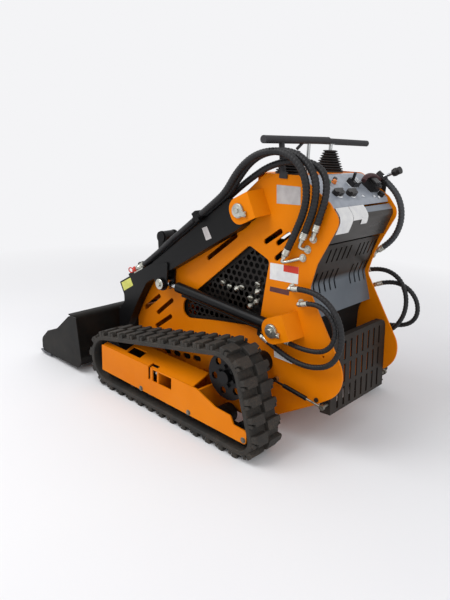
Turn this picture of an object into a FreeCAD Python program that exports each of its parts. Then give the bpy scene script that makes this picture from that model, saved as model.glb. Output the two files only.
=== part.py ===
import FreeCAD, Part
import math
import os

# Compact stand-on skid steer loader on rubber tracks, in millimetres.
# X is the machine's left, Y its rear, Z up, and the origin is on the ground under its middle.

# Body plates
PLATE_OUT = 223.0           # outer face of a side plate
PLATE_T = 8.0
PLATE_IN = PLATE_OUT - PLATE_T
GAP = 0.3                   # seat of one piece on another
RUN = 6.0                   # clearance of moving pieces
BELLY_Z = 77.0
PLATE_TOP = 1058.0          # highest point of a side plate
SHEET = 3.0                 # covers and guards

# Pivots, each as (y, z)
BOOM_PIVOT = (354.0, 907.0)
LIFT_BASE = (555.0, 462.0)
LIFT_EYE = (-107.0, 510.0)
BUCKET_PIVOT = (-418.0, 98.0)
TILT_BASE = (-390.0, 660.0)
TILT_EYE = (-466.0, 228.0)
STEP_PIVOT = (745.0, 211.0)
STRUT_BASE = (549.0, 236.0)
STRUT_EYE = (787.0, 202.0)

# Lift arms
ARM_X = 254.0               # middle of an arm, its cylinder and its pivots
ARM_HALF = 24.0
ARM_IN = ARM_X - ARM_HALF
ARM_OUT = ARM_X + ARM_HALF
ARM_REAR_R = 50.0
CHEEK_T = 8.0
EAR_IN = ARM_OUT + RUN
EAR_OUT = EAR_IN + CHEEK_T
PIN_R = 16.0
PIN_HEAD_R = 29.0
PIN_HEAD_T = 7.0
PIN_PLAY = 0.05             # running clearance of a pin in its bore

# Lift cylinders
BARREL_R = 24.0
ROD_R = 14.0
EYE_HALF = 15.0
EYE_R = 27.0
LIFT_BARREL_END = 585.0     # from the base pin to the barrel's mouth

# Tilt cylinder
TILT_BARREL_R = 29.0
TILT_ROD_R = 15.0
TILT_EYE_HALF = 30.0
TILT_LUG_T = 10.0
TILT_ROD_EYE_HALF = 18.0
TILT_ROD_EYE_R = 18.0
TILT_BARREL_END = 335.0

# Tracks
TRACK_IN = 345.0
TRACK_OUT = 511.0
BELT_T = 20.0
LUG_H = 22.0
LUG_PITCH = 72.0
LUG_FOOT = 44.0             # lug's length along the belt at its foot and at its tip
LUG_TIP = 37.0
LUG_EDGE = 5.0              # from the belt's middle line to a lug, and from a lug to the belt's edge
FRONT_IDLER = (-241.0, 142.0)
REAR_IDLER = (592.0, 92.0)
SPROCKET = (474.0, 290.0)
SPROCKET_TIP_R = 140.0      # sprocket's centre to the lug tips

# Track frames
GUARD_OUT = 506.0
GUARD_T = 6.0
GUARD_TOP = 213.0
GUARD_BOTTOM = 84.0
FRAME_IN = 326.0
BEAM_T = 8.0

# Bucket
BUCKET_HALF = 512.0
BUCKET_T = 6.0

# Step platform
STEP_HALF = PLATE_IN - RUN
STEP_T = 5.0
STEP_FLANGE = 42.0

STEP_PIN_R = 9.0

# Step struts
STRUT_X = PLATE_OUT + 24.0
STRUT_R = 9.0
STRUT_ROD_R = 4.5
STUD_R = 5.0
STRUT_PIN_R = 6.0
STRUT_PIN_PLAY = 1.0        # from the pin's end to the step's flange

PLATE_HOLE = (757.0, 397.0)  # bolt hole in the rear lobe of each side plate
PLATE_HOLE_R = 4.5


def vec(x, y, z):
    return FreeCAD.Vector(x, y, z)


def box(x0, x1, y0, y1, z0, z1):
    low = vec(min(x0, x1), min(y0, y1), min(z0, z1))
    return Part.makeBox(abs(x1 - x0), abs(y1 - y0), abs(z1 - z0), low)


def rod_x(centre, radius, x0, x1):
    """Round bar along X about a (y, z) centre."""
    return Part.makeCylinder(radius, abs(x1 - x0), vec(min(x0, x1), *centre), vec(1, 0, 0))


def rod_between(start, end, radius, at=0.0, upto=None):
    """Round bar on the line from start to end, from the distance at to the distance upto."""
    line = end - start
    reach = line.Length if upto is None else upto
    way = vec(*line).normalize()
    return Part.makeCylinder(radius, reach - at, start + way * at, way)


def fused(*solids):
    whole = solids[0].multiFuse(list(solids[1:])) if len(solids) > 1 else solids[0]
    return whole.removeSplitter()


def mirrored(shape):
    return shape.mirror(vec(0, 0, 0), vec(1, 0, 0))


def outline(corners, place):
    """Closed wire through corners given as (a, b, radius), with place turning (a, b) into 3-D."""
    edges = []
    ends = []
    count = len(corners)
    for index, (a, b, radius) in enumerate(corners):
        here = vec(a, b, 0)
        back = vec(corners[index - 1][0], corners[index - 1][1], 0) - here
        ahead = vec(corners[(index + 1) % count][0], corners[(index + 1) % count][1], 0) - here
        if radius <= 0:
            ends.append((here, None, here))
            continue
        back.normalize()
        ahead.normalize()
        half = back.getAngle(ahead) / 2
        set_back = radius / math.tan(half)
        middle_way = (back + ahead).normalize()
        centre = here + middle_way * (radius / math.sin(half))
        ends.append((here + back * set_back, centre - middle_way * radius, here + ahead * set_back))
    for index, (first, middle, last) in enumerate(ends):
        if middle is not None:
            edges.append(Part.Arc(place(first), place(middle), place(last)).toShape())
        following = ends[(index + 1) % count][0]
        if (following - last).Length > 1e-6:
            edges.append(Part.LineSegment(place(last), place(following)).toShape())
    return Part.Wire(edges)


def side_prism(corners, x0, x1):
    """Solid of a side-view outline, corners given as (y, z, radius), between two X planes."""
    wire = outline(corners, lambda p: vec(min(x0, x1), p.x, p.y))
    return Part.Face(wire).extrude(vec(abs(x1 - x0), 0, 0))


def slot_x(start, end, width, x0, x1):
    """Round-ended slot cutter along X, from one (y, z) centre to another."""
    run = vec(0, end[0] - start[0], end[1] - start[1])
    across = vec(1, 0, 0).cross(run).normalize() * (width / 2)
    first = vec(x0, *start)
    last = vec(x0, *end)
    wire = Part.Wire([
        Part.LineSegment(first + across, last + across).toShape(),
        Part.Arc(last + across, last + vec(*run).normalize() * (width / 2), last - across).toShape(),
        Part.LineSegment(last - across, first - across).toShape(),
        Part.Arc(first - across, first - vec(*run).normalize() * (width / 2), first + across).toShape(),
    ])
    return Part.Face(wire).extrude(vec(x1 - x0, 0, 0))


# Side plates with their welded ears

REAR_EDGE = [
    # y, z, corner radius: from the belly corner round the lobe, the waist and the upper bulge
    (569.0, BELLY_Z, 6.0),
    (736.0, 184.0, 30.0),
    (887.4, 298.0, 118.0),
    (666.0, 640.0, 40.0),
    (690.0, 742.0, 60.0),
    (773.0, 914.0, 48.0),
    (722.0, 973.0, 25.0),
    (585.0, PLATE_TOP, 30.0),
    (425.0, 1056.0, 60.0),
    (318.0, 962.0, 20.0),
    (262.0, 832.0, 60.0),
]
FRONT_EDGE = [
    (-282.0, 474.0, 25.0),
    (-322.0, 394.0, 30.0),
    (-360.0, 335.0, 20.0),
    (-357.0, 205.0, 40.0),
    (-290.0, BELLY_Z + 13.0, 30.0),
]
WINDOW = [
    (361.0, 763.0, 22.0),
    (470.0, 718.0, 22.0),
    (455.0, 601.0, 60.0),
    (436.0, 430.0, 26.0),
    (190.0, 392.0, 80.0),
    (-24.0, 352.0, 40.0),
    (-24.0, 432.0, 40.0),
    (180.0, 606.0, 100.0),
]
PLATE_SLOTS = [
    # y and z of the two ends of each slot
    (-300.0, 333.0, -197.0, 417.0),
    (-206.0, 330.0, -104.0, 417.0),
    (-216.0, 257.0, -112.0, 334.0),
    (131.0, 668.0, 285.0, 790.0),
    (445.0, 791.0, 513.0, 841.0),
    (506.0, 795.0, 554.0, 835.0),
    (503.0, 734.0, 531.0, 760.0),
]
SLOT_WIDTH = 22.0
EAR_BEND = 70.0             # pin to the bend line
EAR_FOOT = 94.0             # pin to the weld on the plate
EAR_LOW = -54.0
EAR_HIGH = 52.0
EAR_CORNERS = [
    # along and up from the pin, before the ear is turned; the middle two lie on the bend
    (-48.0, EAR_LOW, 46.0),
    (EAR_BEND, EAR_LOW, 0.0),
    (EAR_BEND, EAR_HIGH, 0.0),
    (-48.0, EAR_HIGH, 46.0),
]
UPPER_EAR_TILT = 27.0
LOWER_EAR_TILT = 24.0


def pivot_ear(pin, tilt):
    """Bent strap that holds the outer end of a pivot pin, welded to the side plate."""
    cheek = side_prism(EAR_CORNERS, EAR_IN, EAR_OUT)
    foot = PLATE_OUT + GAP
    web = Part.Face(Part.makePolygon([
        vec(EAR_OUT, EAR_BEND, EAR_LOW), vec(EAR_IN, EAR_BEND - 4, EAR_LOW),
        vec(foot, EAR_FOOT - 10, EAR_LOW), vec(foot, EAR_FOOT, EAR_LOW),
        vec(EAR_OUT, EAR_BEND, EAR_LOW),
    ])).extrude(vec(0, 0, EAR_HIGH - EAR_LOW))
    ear = fused(cheek, web)
    ear.rotate(vec(0, 0, 0), vec(1, 0, 0), tilt)
    ear.translate(vec(0, *pin))
    return ear.cut(rod_x(pin, PIN_R + GAP, EAR_IN - 1, EAR_OUT + 1))


def side_plate():
    plate = side_prism(REAR_EDGE + FRONT_EDGE, PLATE_IN, PLATE_OUT)
    cutters = [side_prism(WINDOW, PLATE_IN - 1, PLATE_OUT + 1)]
    for y0, z0, y1, z1 in PLATE_SLOTS:
        cutters.append(slot_x((y0, z0), (y1, z1), SLOT_WIDTH, PLATE_IN - 1, PLATE_OUT + 1))
    for pin in (BOOM_PIVOT, LIFT_BASE):
        cutters.append(rod_x(pin, PIN_R + GAP, PLATE_IN - 1, PLATE_OUT + 1))
    cutters.append(rod_x(PLATE_HOLE, PLATE_HOLE_R, PLATE_IN - 1, PLATE_OUT + 1))
    cutters.append(rod_x(STRUT_BASE, STUD_R + GAP, PLATE_IN - 1, PLATE_OUT + 1))
    cutters.append(rod_x(STEP_PIVOT, STEP_PIN_R + PIN_PLAY, PLATE_IN - 1, PLATE_OUT + 1))
    return plate.cut(cutters)


def pivot_pins():
    """Pins of the arms and the lift cylinders, each with its head outside the ear."""
    pins = []
    for pin in (BOOM_PIVOT, LIFT_BASE):
        shaft = rod_x(pin, PIN_R, PLATE_IN + 1, EAR_OUT + 0.5)
        head = rod_x(pin, PIN_HEAD_R, EAR_OUT + GAP, EAR_OUT + PIN_HEAD_T)
        keeper = box(EAR_OUT + GAP, EAR_OUT + PIN_HEAD_T, pin[0], pin[0] + 42, pin[1] - 20, pin[1] + 2)
        pins.append(fused(shaft, head, keeper))
    stud = rod_x(STRUT_BASE, STUD_R, PLATE_IN + 1, STRUT_X + 12)
    stud_head = rod_x(STRUT_BASE, STUD_R + 5, PLATE_OUT + GAP, STRUT_X - 9)
    pins.append(fused(stud, stud_head))
    return pins


# Chassis between the plates

FLOOR_T = 8.0
FLOOR_TOP = BELLY_Z + 14.0 + FLOOR_T
BEAM = 80.0
BEAMS = [
    # y and z of the middle of each cross beam that carries a track frame
    (-60.0, 170.0),
    (330.0, 170.0),
]


def chassis_frame():
    inner = PLATE_IN - GAP
    floor = box(-inner, inner, -280, 560, BELLY_Z + 14, BELLY_Z + 14 + FLOOR_T)
    front = box(-inner, inner, -352, -344, 210, 330)
    rear = box(-inner, inner, 552, 560, BELLY_Z + 14, 235)
    bulkhead = box(-inner + 20, inner - 20, 470, 476, BELLY_Z + 20, 420)
    parts = [floor, rear, bulkhead]
    toe = Part.Face(Part.makePolygon([
        vec(-inner, -280, BELLY_Z + 14), vec(-inner, -352, 210), vec(-inner, -344, 214),
        vec(-inner, -272, BELLY_Z + 20), vec(-inner, -280, BELLY_Z + 14),
    ])).extrude(vec(2 * inner, 0, 0))
    parts += [toe, front]
    return fused(*parts)


def axle_beams():
    """Cross beams from the chassis out to both track frames."""
    beams = []
    for y, z in BEAMS:
        beams.append(box(PLATE_OUT + GAP, FRAME_IN - GAP, y - BEAM / 2, y + BEAM / 2, z - 40, z + 40))
    return beams


def engine_block():
    return box(-150, 150, 0, 330, FLOOR_TOP + GAP, 560)


# Tracks

def loop_circles(grow):
    """Three wheels that the belt runs round, as (y, z, radius), grown by a belt layer."""
    inset = BELT_T + LUG_H - grow
    return [
        (FRONT_IDLER[0], FRONT_IDLER[1], FRONT_IDLER[1] - inset),
        (REAR_IDLER[0], REAR_IDLER[1], REAR_IDLER[1] - inset),
        (SPROCKET[0], SPROCKET[1], SPROCKET_TIP_R - inset),
    ]


def loop_segments(grow):
    """Tangent runs of the belt, as pairs of (y, z) ends, in order round the three wheels."""
    circles = loop_circles(grow)
    runs = []
    for index, (y0, z0, r0) in enumerate(circles):
        y1, z1, r1 = circles[(index + 1) % 3]
        span = math.hypot(y1 - y0, z1 - z0)
        heading = math.atan2(z1 - z0, y1 - y0)
        lean = heading - math.pi / 2 + math.asin((r0 - r1) / span)
        away = (math.cos(lean), math.sin(lean))
        runs.append(((y0 + r0 * away[0], z0 + r0 * away[1]), (y1 + r1 * away[0], z1 + r1 * away[1])))
    return runs


def loop_face(grow, x):
    circles = loop_circles(grow)
    runs = loop_segments(grow)
    edges = []
    for index in range(3):
        start, end = runs[index]
        edges.append(Part.LineSegment(vec(x, *start), vec(x, *end)).toShape())
        y, z, radius = circles[(index + 1) % 3]
        following = runs[(index + 1) % 3][0]
        first = math.atan2(end[1] - z, end[0] - y)
        last = math.atan2(following[1] - z, following[0] - y)
        if last < first:
            last += 2 * math.pi
        middle = (first + last) / 2
        tip = vec(x, y + radius * math.cos(middle), z + radius * math.sin(middle))
        edges.append(Part.Arc(vec(x, *end), tip, vec(x, *following)).toShape())
    return Part.Face(Part.Wire(edges))


def belt_ring(inner, outer, x0, x1):
    ring = loop_face(outer, x0).extrude(vec(x1 - x0, 0, 0))
    return ring.cut(loop_face(inner, x0 - 1).extrude(vec(x1 - x0 + 2, 0, 0)))


OUTER_LUG_SHIFT = 0.27      # share of the pitch from the loop's start to the first lug of each row
INNER_LUG_SHIFT = 0.77


def belt_places(shift):
    """Even places round the belt's outer face, as (y, z, outward angle, radius or None on a run)."""
    stretches = []
    circles = loop_circles(BELT_T)
    runs = loop_segments(BELT_T)
    for index in range(3):
        (y0, z0), (y1, z1) = runs[index]
        y, z, radius = circles[(index + 1) % 3]
        lean = math.atan2(z1 - z, y1 - y)
        (y2, z2), _ = runs[(index + 1) % 3]
        turn = (math.atan2(z2 - z, y2 - y) - lean) % (2 * math.pi)
        stretches.append((math.hypot(y1 - y0, z1 - z0), (y0, z0, y1, z1, lean), None))
        stretches.append((turn * radius, (y, z, lean), radius))
    total = sum(length for length, _, _ in stretches)
    count = round(total / LUG_PITCH)
    for number in range(count):
        left = (number + shift) * total / count
        for length, place, radius in stretches:
            if left < length:
                break
            left -= length
        if radius is None:
            y0, z0, y1, z1, lean = place
            share = left / length
            yield y0 + (y1 - y0) * share, z0 + (z1 - z0) * share, lean, None
        else:
            y, z, lean = place
            lean += left / radius
            yield y + radius * math.cos(lean), z + radius * math.sin(lean), lean, radius


def lug(place, x0, x1):
    """One tapered lug across half of the belt, its foot sunk into the belt's outer face."""
    y, z, lean, radius = place
    height = LUG_H if radius is None else math.sqrt((radius + LUG_H) ** 2 - (LUG_TIP / 2) ** 2) - radius
    out = vec(0, math.cos(lean), math.sin(lean))
    along = vec(0, -math.sin(lean), math.cos(lean))
    middle = vec(x0, y, z)
    sunk = BELT_T / 3
    corners = [
        middle + along * half + out * rise
        for half, rise in ((-LUG_FOOT / 2, -sunk), (LUG_FOOT / 2, -sunk),
                           (LUG_TIP / 2, height), (-LUG_TIP / 2, height))
    ]
    return Part.Face(Part.makePolygon(corners + corners[:1])).extrude(vec(x1 - x0, 0, 0))


def track():
    """Belt with its guide face inside and two staggered rows of lugs outside."""
    belt = belt_ring(0, BELT_T, TRACK_IN, TRACK_OUT)
    middle = (TRACK_IN + TRACK_OUT) / 2
    lugs = []
    for place in belt_places(OUTER_LUG_SHIFT):
        lugs.append(lug(place, middle + LUG_EDGE, TRACK_OUT - LUG_EDGE))
    for place in belt_places(INNER_LUG_SHIFT):
        lugs.append(lug(place, TRACK_IN + LUG_EDGE, middle - LUG_EDGE))
    return fused(belt, *lugs)


WHEEL_IN = FRAME_IN + 34.0
WHEEL_OUT = GUARD_OUT - 36.0
SPROCKET_OUT = WHEEL_OUT - 18.0
SPROCKET_T = 12.0
ROLLER_R = 40.0
ROLLERS_Y = (-60.0, 60.0, 180.0, 300.0, 420.0)
ROLLER_Z = BELT_T + LUG_H + ROLLER_R + GAP


def wheel(centre, radius, rim):
    """Wheel with dished faces and its axle, which seats between the beam and the guard."""
    body = rod_x(centre, radius, WHEEL_IN, WHEEL_OUT)
    dish_out = rod_x(centre, radius - rim, WHEEL_OUT - 12, WHEEL_OUT + 1)
    dish_in = rod_x(centre, radius - rim, WHEEL_IN - 1, WHEEL_IN + 12)
    hub = rod_x(centre, radius * 0.45, WHEEL_IN - 6, WHEEL_OUT + 4)
    axle = rod_x(centre, 12, FRAME_IN + BEAM_T + GAP, GUARD_OUT - GUARD_T - GAP)
    return fused(body.cut([dish_out, dish_in]), hub, axle)


def idlers():
    """Front and rear idlers and the bottom rollers, which stand free of each other."""
    wheels = []
    for y, z, radius in loop_circles(0)[:2]:
        wheels.append(wheel((y, z), radius - GAP, 10.0))
    for y in ROLLERS_Y:
        wheels.append(wheel((y, ROLLER_Z), ROLLER_R, 8.0))
    return wheels


MOTOR_R = 46.0


def sprocket():
    """Toothed drive plate with its round lightening holes, and the drive hub inside it."""
    reach = SPROCKET_TIP_R - BELT_T - LUG_H - GAP
    plate = rod_x(SPROCKET, reach, SPROCKET_OUT - SPROCKET_T, SPROCKET_OUT)
    holes = []
    for step in range(6):
        turn = math.radians(60 * step + 15)
        centre = (SPROCKET[0] + 68 * math.cos(turn), SPROCKET[1] + 68 * math.sin(turn))
        holes.append(rod_x(centre, 15, SPROCKET_OUT - SPROCKET_T - 1, SPROCKET_OUT + 1))
    drum = rod_x(SPROCKET, MOTOR_R, PLATE_OUT + GAP, SPROCKET_OUT - SPROCKET_T + 1)
    hub = rod_x(SPROCKET, 26, SPROCKET_OUT, WHEEL_OUT + 4)
    return fused(plate.cut(holes), drum, hub)


GUARD = [
    # y, z, corner radius of the outer guard plate
    (-280.0, GUARD_TOP, 4.0),
    (-280.0, GUARD_BOTTOM, 4.0),
    (632.0, GUARD_BOTTOM - 6.0, 12.0),
    (632.0, 134.0, 12.0),
    (566.0, 136.0, 8.0),
    (548.0, 168.0, 10.0),
    (470.0, 172.0, 50.0),
    (360.0, GUARD_TOP, 20.0),
]
RECESS = [
    (90.0, 222.0, 4.0),
    (90.0, 152.0, 4.0),
    (212.0, 152.0, 4.0),
    (212.0, 222.0, 4.0),
]
GUARD_SLOPE_IN = GUARD_OUT - 96.0   # inner edge of the guard's sloping top
GUARD_SLOPE_TOP = 246.0


INNER_BEAM = [
    # y, z, corner radius
    (-262.0, 166.0, 10.0),
    (-262.0, 96.0, 10.0),
    (632.0, 76.0, 10.0),
    (632.0, 118.0, 10.0),
    (560.0, 150.0, 10.0),
    (470.0, 300.0, 10.0),
    (400.0, 330.0, 30.0),
    (330.0, 300.0, 30.0),
    (-150.0, 238.0, 10.0),
]
OVALS_Y = (-20.0, 45.0, 110.0, 175.0)
TIES_Y = (0.0, 120.0, 240.0, 360.0)
GUARD_CUTS = [
    # x, y and z spans: the bent slot down the face, its run over the fold, the tensioner's opening
    (GUARD_OUT - 22, GUARD_OUT + 1, 61, 76, 153, 250),
    (GUARD_OUT - 30, GUARD_OUT - 12, 61, 112, 205, 250),
    (GUARD_OUT - 65, GUARD_OUT - 22, -116, -22, 200, 260),
]


def track_frame():
    """Guard plate, its sloping top, and the inner beam with its row of oval holes."""
    guard_in = GUARD_OUT - GUARD_T
    guard = side_prism(GUARD, guard_in, GUARD_OUT)
    guard = guard.cut(side_prism(RECESS, guard_in - 10, GUARD_OUT + 1))
    slope_out = GUARD_OUT - 1
    slope = Part.Face(Part.makePolygon([
        vec(slope_out, -274, GUARD_TOP - 2), vec(GUARD_SLOPE_IN, -274, GUARD_SLOPE_TOP),
        vec(GUARD_SLOPE_IN, -274, GUARD_SLOPE_TOP - GUARD_T),
        vec(slope_out, -274, GUARD_TOP - 2 - GUARD_T),
        vec(slope_out, -274, GUARD_TOP - 2),
    ])).extrude(vec(0, 610, 0))
    slope = slope.cut(box(GUARD_SLOPE_IN - 1, WHEEL_OUT + 8, -281, -130, 200, 260))
    beam = side_prism(INNER_BEAM, FRAME_IN, FRAME_IN + BEAM_T)
    holes = [rod_x(SPROCKET, MOTOR_R + RUN, FRAME_IN - 1, FRAME_IN + BEAM_T + 1)]
    for y in OVALS_Y:
        z = 214.0 + 0.13 * (y + 20)
        holes.append(slot_x((y, z), (y + 24, z + 3), 26, FRAME_IN - 1, FRAME_IN + BEAM_T + 1))
    beam = beam.cut(holes)
    ties = [box(FRAME_IN + 1, guard_in + 1, y - 5, y + 5, 90, 205) for y in TIES_Y]
    floor = box(FRAME_IN + 1, WHEEL_IN - 14, TIES_Y[0], TIES_Y[-1], 100, 106)
    frame = fused(guard, slope, beam, floor, *ties)
    return frame.cut([box(*spans) for spans in GUARD_CUTS])


# Covers between the plates

def sheet_strip(points, thickness, half_width, corner=30.0):
    """Bent sheet across the machine that follows (y, z) points, its thickness going inwards."""
    outer = [(y, z, corner if 0 < i < len(points) - 1 else 0) for i, (y, z) in enumerate(points)]
    inner = []
    for index, (y, z) in enumerate(points):
        before = points[max(index - 1, 0)]
        after = points[min(index + 1, len(points) - 1)]
        way = vec(after[0] - before[0], after[1] - before[1], 0).normalize()
        inward = (y + way.y * thickness, z - way.x * thickness)
        bend = max(corner - thickness, 1.0) if 0 < index < len(points) - 1 else 0
        inner.append((*inward, bend))
    return side_prism(outer + inner[::-1], -half_width, half_width)


COVER_HALF = PLATE_IN - GAP
DECK_Z = PLATE_TOP - 4.0    # top of the deck that the levers stand on


CONSOLE_TOP = (590.0, 1052.0)
CONSOLE_FOOT = (714.0, 967.4)
CONSOLE_LIP = (720.0, 951.0)


def console():
    """Sloping control panel between the plates, with its upper edge turned down."""
    return sheet_strip([(560, 1052), CONSOLE_TOP, CONSOLE_FOOT, CONSOLE_LIP], -SHEET, COVER_HALF, 8.0)


REAR_HOOD = [(726.0, 943.0), (752.0, 917.0), (718.0, 823.0)]
REAR_LOUVRES = [(702.0, 812.0), (650.0, 650.0), (690.0, 526.0)]
LOUVRE_WIDTH = 10.0
LOUVRE_ROWS = [
    # lowest and highest z, x of the first slot, pitch and number of slots
    (735.0, 792.0, 144.0, -37.0, 5),
    (735.0, 792.0, -72.0, -32.0, 5),
    (612.0, 698.0, 178.0, -37.0, 5),
    (612.0, 698.0, -86.0, -37.0, 4),
]


def rear_hood():
    return sheet_strip(REAR_HOOD, -SHEET, COVER_HALF, 26.0)


def rear_louvres():
    """Sheet folded at the waist, with its upright slots above the fold and round it."""
    cutters = []
    for low, high, first, pitch, count in LOUVRE_ROWS:
        for number in range(count):
            x = first + pitch * number
            cutters.append(box(x - LOUVRE_WIDTH / 2, x + LOUVRE_WIDTH / 2, 600, 740, low, high))
    return sheet_strip(REAR_LOUVRES, -SHEET, COVER_HALF, 30.0).cut(cutters)


def top_cover():
    """Bonnet from the console forward along the arms and down the nose."""
    cover = sheet_strip([(-345.0, 345.0), (-310.0, 400.0), (-275.0, 462.0), (245.0, 812.0), (330.0, 955.0),
                         (430.0, 1045.0), (554.0, DECK_Z - SHEET)], -SHEET, COVER_HALF, 20.0)
    deck = box(-COVER_HALF + 4, COVER_HALF - 4, 378, 556, DECK_Z - SHEET, DECK_Z)
    lip = box(-COVER_HALF + 4, COVER_HALF - 4, 378, 378 + SHEET, 1000, DECK_Z - 1)
    return fused(cover, deck, lip)


MESH_X = PLATE_IN - 14.0
MESH_T = 2.0
MESH_EDGE = [
    (372.0, 778.0, 22.0),
    (486.0, 726.0, 22.0),
    (470.0, 600.0, 60.0),
    (450.0, 414.0, 26.0),
    (190.0, 376.0, 80.0),
    (-40.0, 336.0, 20.0),
    (-40.0, 440.0, 40.0),
    (166.0, 618.0, 100.0),
]
MESH_SPACERS = ((384.0, 764.0), (472.0, 727.0), (445.0, 424.0), (-31.0, 350.0), (165.0, 607.0))


def engine_mesh():
    """Perforated guard panels behind both windows, each on spacers off its side plate."""
    spacers = [rod_x(point, 6.0, MESH_X - 1, PLATE_IN - GAP) for point in MESH_SPACERS]
    panel = fused(side_prism(MESH_EDGE, MESH_X - MESH_T, MESH_X), *spacers)
    return [panel, mirrored(panel)]


# Handles

HANDLE_RISE = 127.0         # left handle's middle above the deck
HANDLE_Z = DECK_Z + HANDLE_RISE
HANDLE_Y = 479.0

LEFT_BAR = ((-94.0, HANDLE_Y + 8, HANDLE_Z), (326.0, HANDLE_Y + 8, HANDLE_Z))
RIGHT_BAR = ((-60.0, HANDLE_Y - 26, HANDLE_Z - 2), (-421.0, HANDLE_Y + 1, HANDLE_Z - 9))
BOOTS = ((135.0, HANDLE_Y), (-151.0, HANDLE_Y - 14))
BOOT_R = 61.0
BOOT_TOP_R = 28.0
STAY = (41.0, HANDLE_Y + 8)  # upright between the deck and the left handle
BOOT_H = HANDLE_RISE - 39.0


def drive_handles():
    """Two cross handles on their posts, the left one level and the right one a little down."""
    left = rod_between(vec(*LEFT_BAR[0]), vec(*LEFT_BAR[1]), 14.5)
    plate_middle = (PLATE_IN + PLATE_OUT) / 2
    foot_y = HANDLE_Y + 26
    bridge_z = PLATE_TOP + 2
    post_foot = vec(plate_middle, foot_y, PLATE_TOP - 8)
    post = rod_between(post_foot, vec(plate_middle, HANDLE_Y + 8, HANDLE_Z), 11)
    foot = box(PLATE_OUT + GAP, PLATE_OUT + 6, foot_y - 11, foot_y + 25, DECK_Z - 12, bridge_z + 6)
    post_top = post.common(box(0, ARM_OUT, foot_y - 60, foot_y + 60, bridge_z + 2, HANDLE_Z))
    bridge = box(PLATE_IN, PLATE_OUT + 6, foot_y - 13, foot_y + 13, bridge_z, bridge_z + 8)
    boot_top = DECK_Z + GAP + BOOT_H + GAP
    left_x, left_y = BOOTS[0]
    rod_x = left_x - BOOT_TOP_R
    left_rod = rod_between(vec(rod_x, left_y, boot_top + 5), vec(rod_x - 39, HANDLE_Y + 8, HANDLE_Z), 6)
    stay = rod_between(vec(*STAY, DECK_Z + GAP), vec(*STAY, HANDLE_Z), 7)
    right = rod_between(vec(*RIGHT_BAR[0]), vec(*RIGHT_BAR[1]), 13.0)
    right_x, right_y = BOOTS[1]
    right_post = rod_between(vec(right_x, right_y, boot_top + GAP), vec(right_x, right_y, HANDLE_Z - 8), 8)
    return [fused(left, post_top, bridge, foot, left_rod, stay), fused(right, right_post)]


def lever_boots():
    """Round bellows at the feet of the levers."""
    up = vec(0, 0, 1)
    return [Part.makeCone(BOOT_R, BOOT_TOP_R, BOOT_H, vec(x, y, DECK_Z + GAP), up) for x, y in BOOTS]


# Lift arms

ARM_BODY = [
    # y, z, corner radius, from the pivot end forward along the top and back along the underside
    (398.0, 876.0, 46.0),
    (310.0, 962.0, 46.0),
    (-192.0, 587.0, 60.0),
    (-438.0, 448.0, 6.0),
    (-404.0, 390.0, 20.0),
    (-402.0, 352.0, 20.0),
    (-446.0, 300.0, 40.0),
    (-446.0, 219.0, 30.0),
    (-442.5, 98.0, 0.0),
]
ARM_LEG_R = 26.0
ARM_UNDER = [
    (-393.5, 98.0, 0.0),
    (-381.0, 222.0, 30.0),
    (-292.0, 386.0, 60.0),
    (-226.0, 490.0, 50.0),
    (-60.0, 582.0, 60.0),
    (330.0, 822.0, 20.0),
]


def lift_arm():
    """One arm with its drop leg, the cylinder bracket and the bores at both ends."""
    beam = side_prism(ARM_BODY + ARM_UNDER, ARM_IN, ARM_OUT)
    boss = rod_x(BOOM_PIVOT, ARM_REAR_R, ARM_IN, ARM_OUT)
    toe = rod_x(BUCKET_PIVOT, ARM_LEG_R, ARM_IN, ARM_OUT)
    bracket = [
        (LIFT_EYE[0] - 32.0, LIFT_EYE[1] - 32.0, 31.0),
        (LIFT_EYE[0] + 32.0, LIFT_EYE[1] - 32.0, 31.0),
        (LIFT_EYE[0] + 40.0, LIFT_EYE[1] + 110.0, 10.0),
        (LIFT_EYE[0] - 85.0, LIFT_EYE[1] + 70.0, 10.0),
    ]
    outer = side_prism(bracket, ARM_OUT - 0.5, ARM_OUT + CHEEK_T)
    inner = side_prism(bracket, ARM_IN, ARM_IN + CHEEK_T)
    head = rod_x(LIFT_EYE, PIN_HEAD_R, ARM_OUT + CHEEK_T - 0.5, ARM_OUT + CHEEK_T + PIN_HEAD_T)
    arm = fused(beam, boss, toe, outer, inner, head)
    cutters = [
        rod_x(BOOM_PIVOT, PIN_R + PIN_PLAY, ARM_IN - 1, ARM_OUT + 1),
        rod_x(BUCKET_PIVOT, PIN_R + PIN_PLAY, ARM_IN - 1, ARM_OUT + 1),
    ]
    return arm.cut(cutters)


CROSS_HALF_L = 50.0
CROSS_HALF_T = 30.0
CROSS_MID = (-372.0, 482.0)
CROSS_TILT = 31.0
TILT_LUG_IN = TILT_EYE_HALF + 5.0
TILT_LUG_OUT = TILT_LUG_IN + TILT_LUG_T


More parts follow.
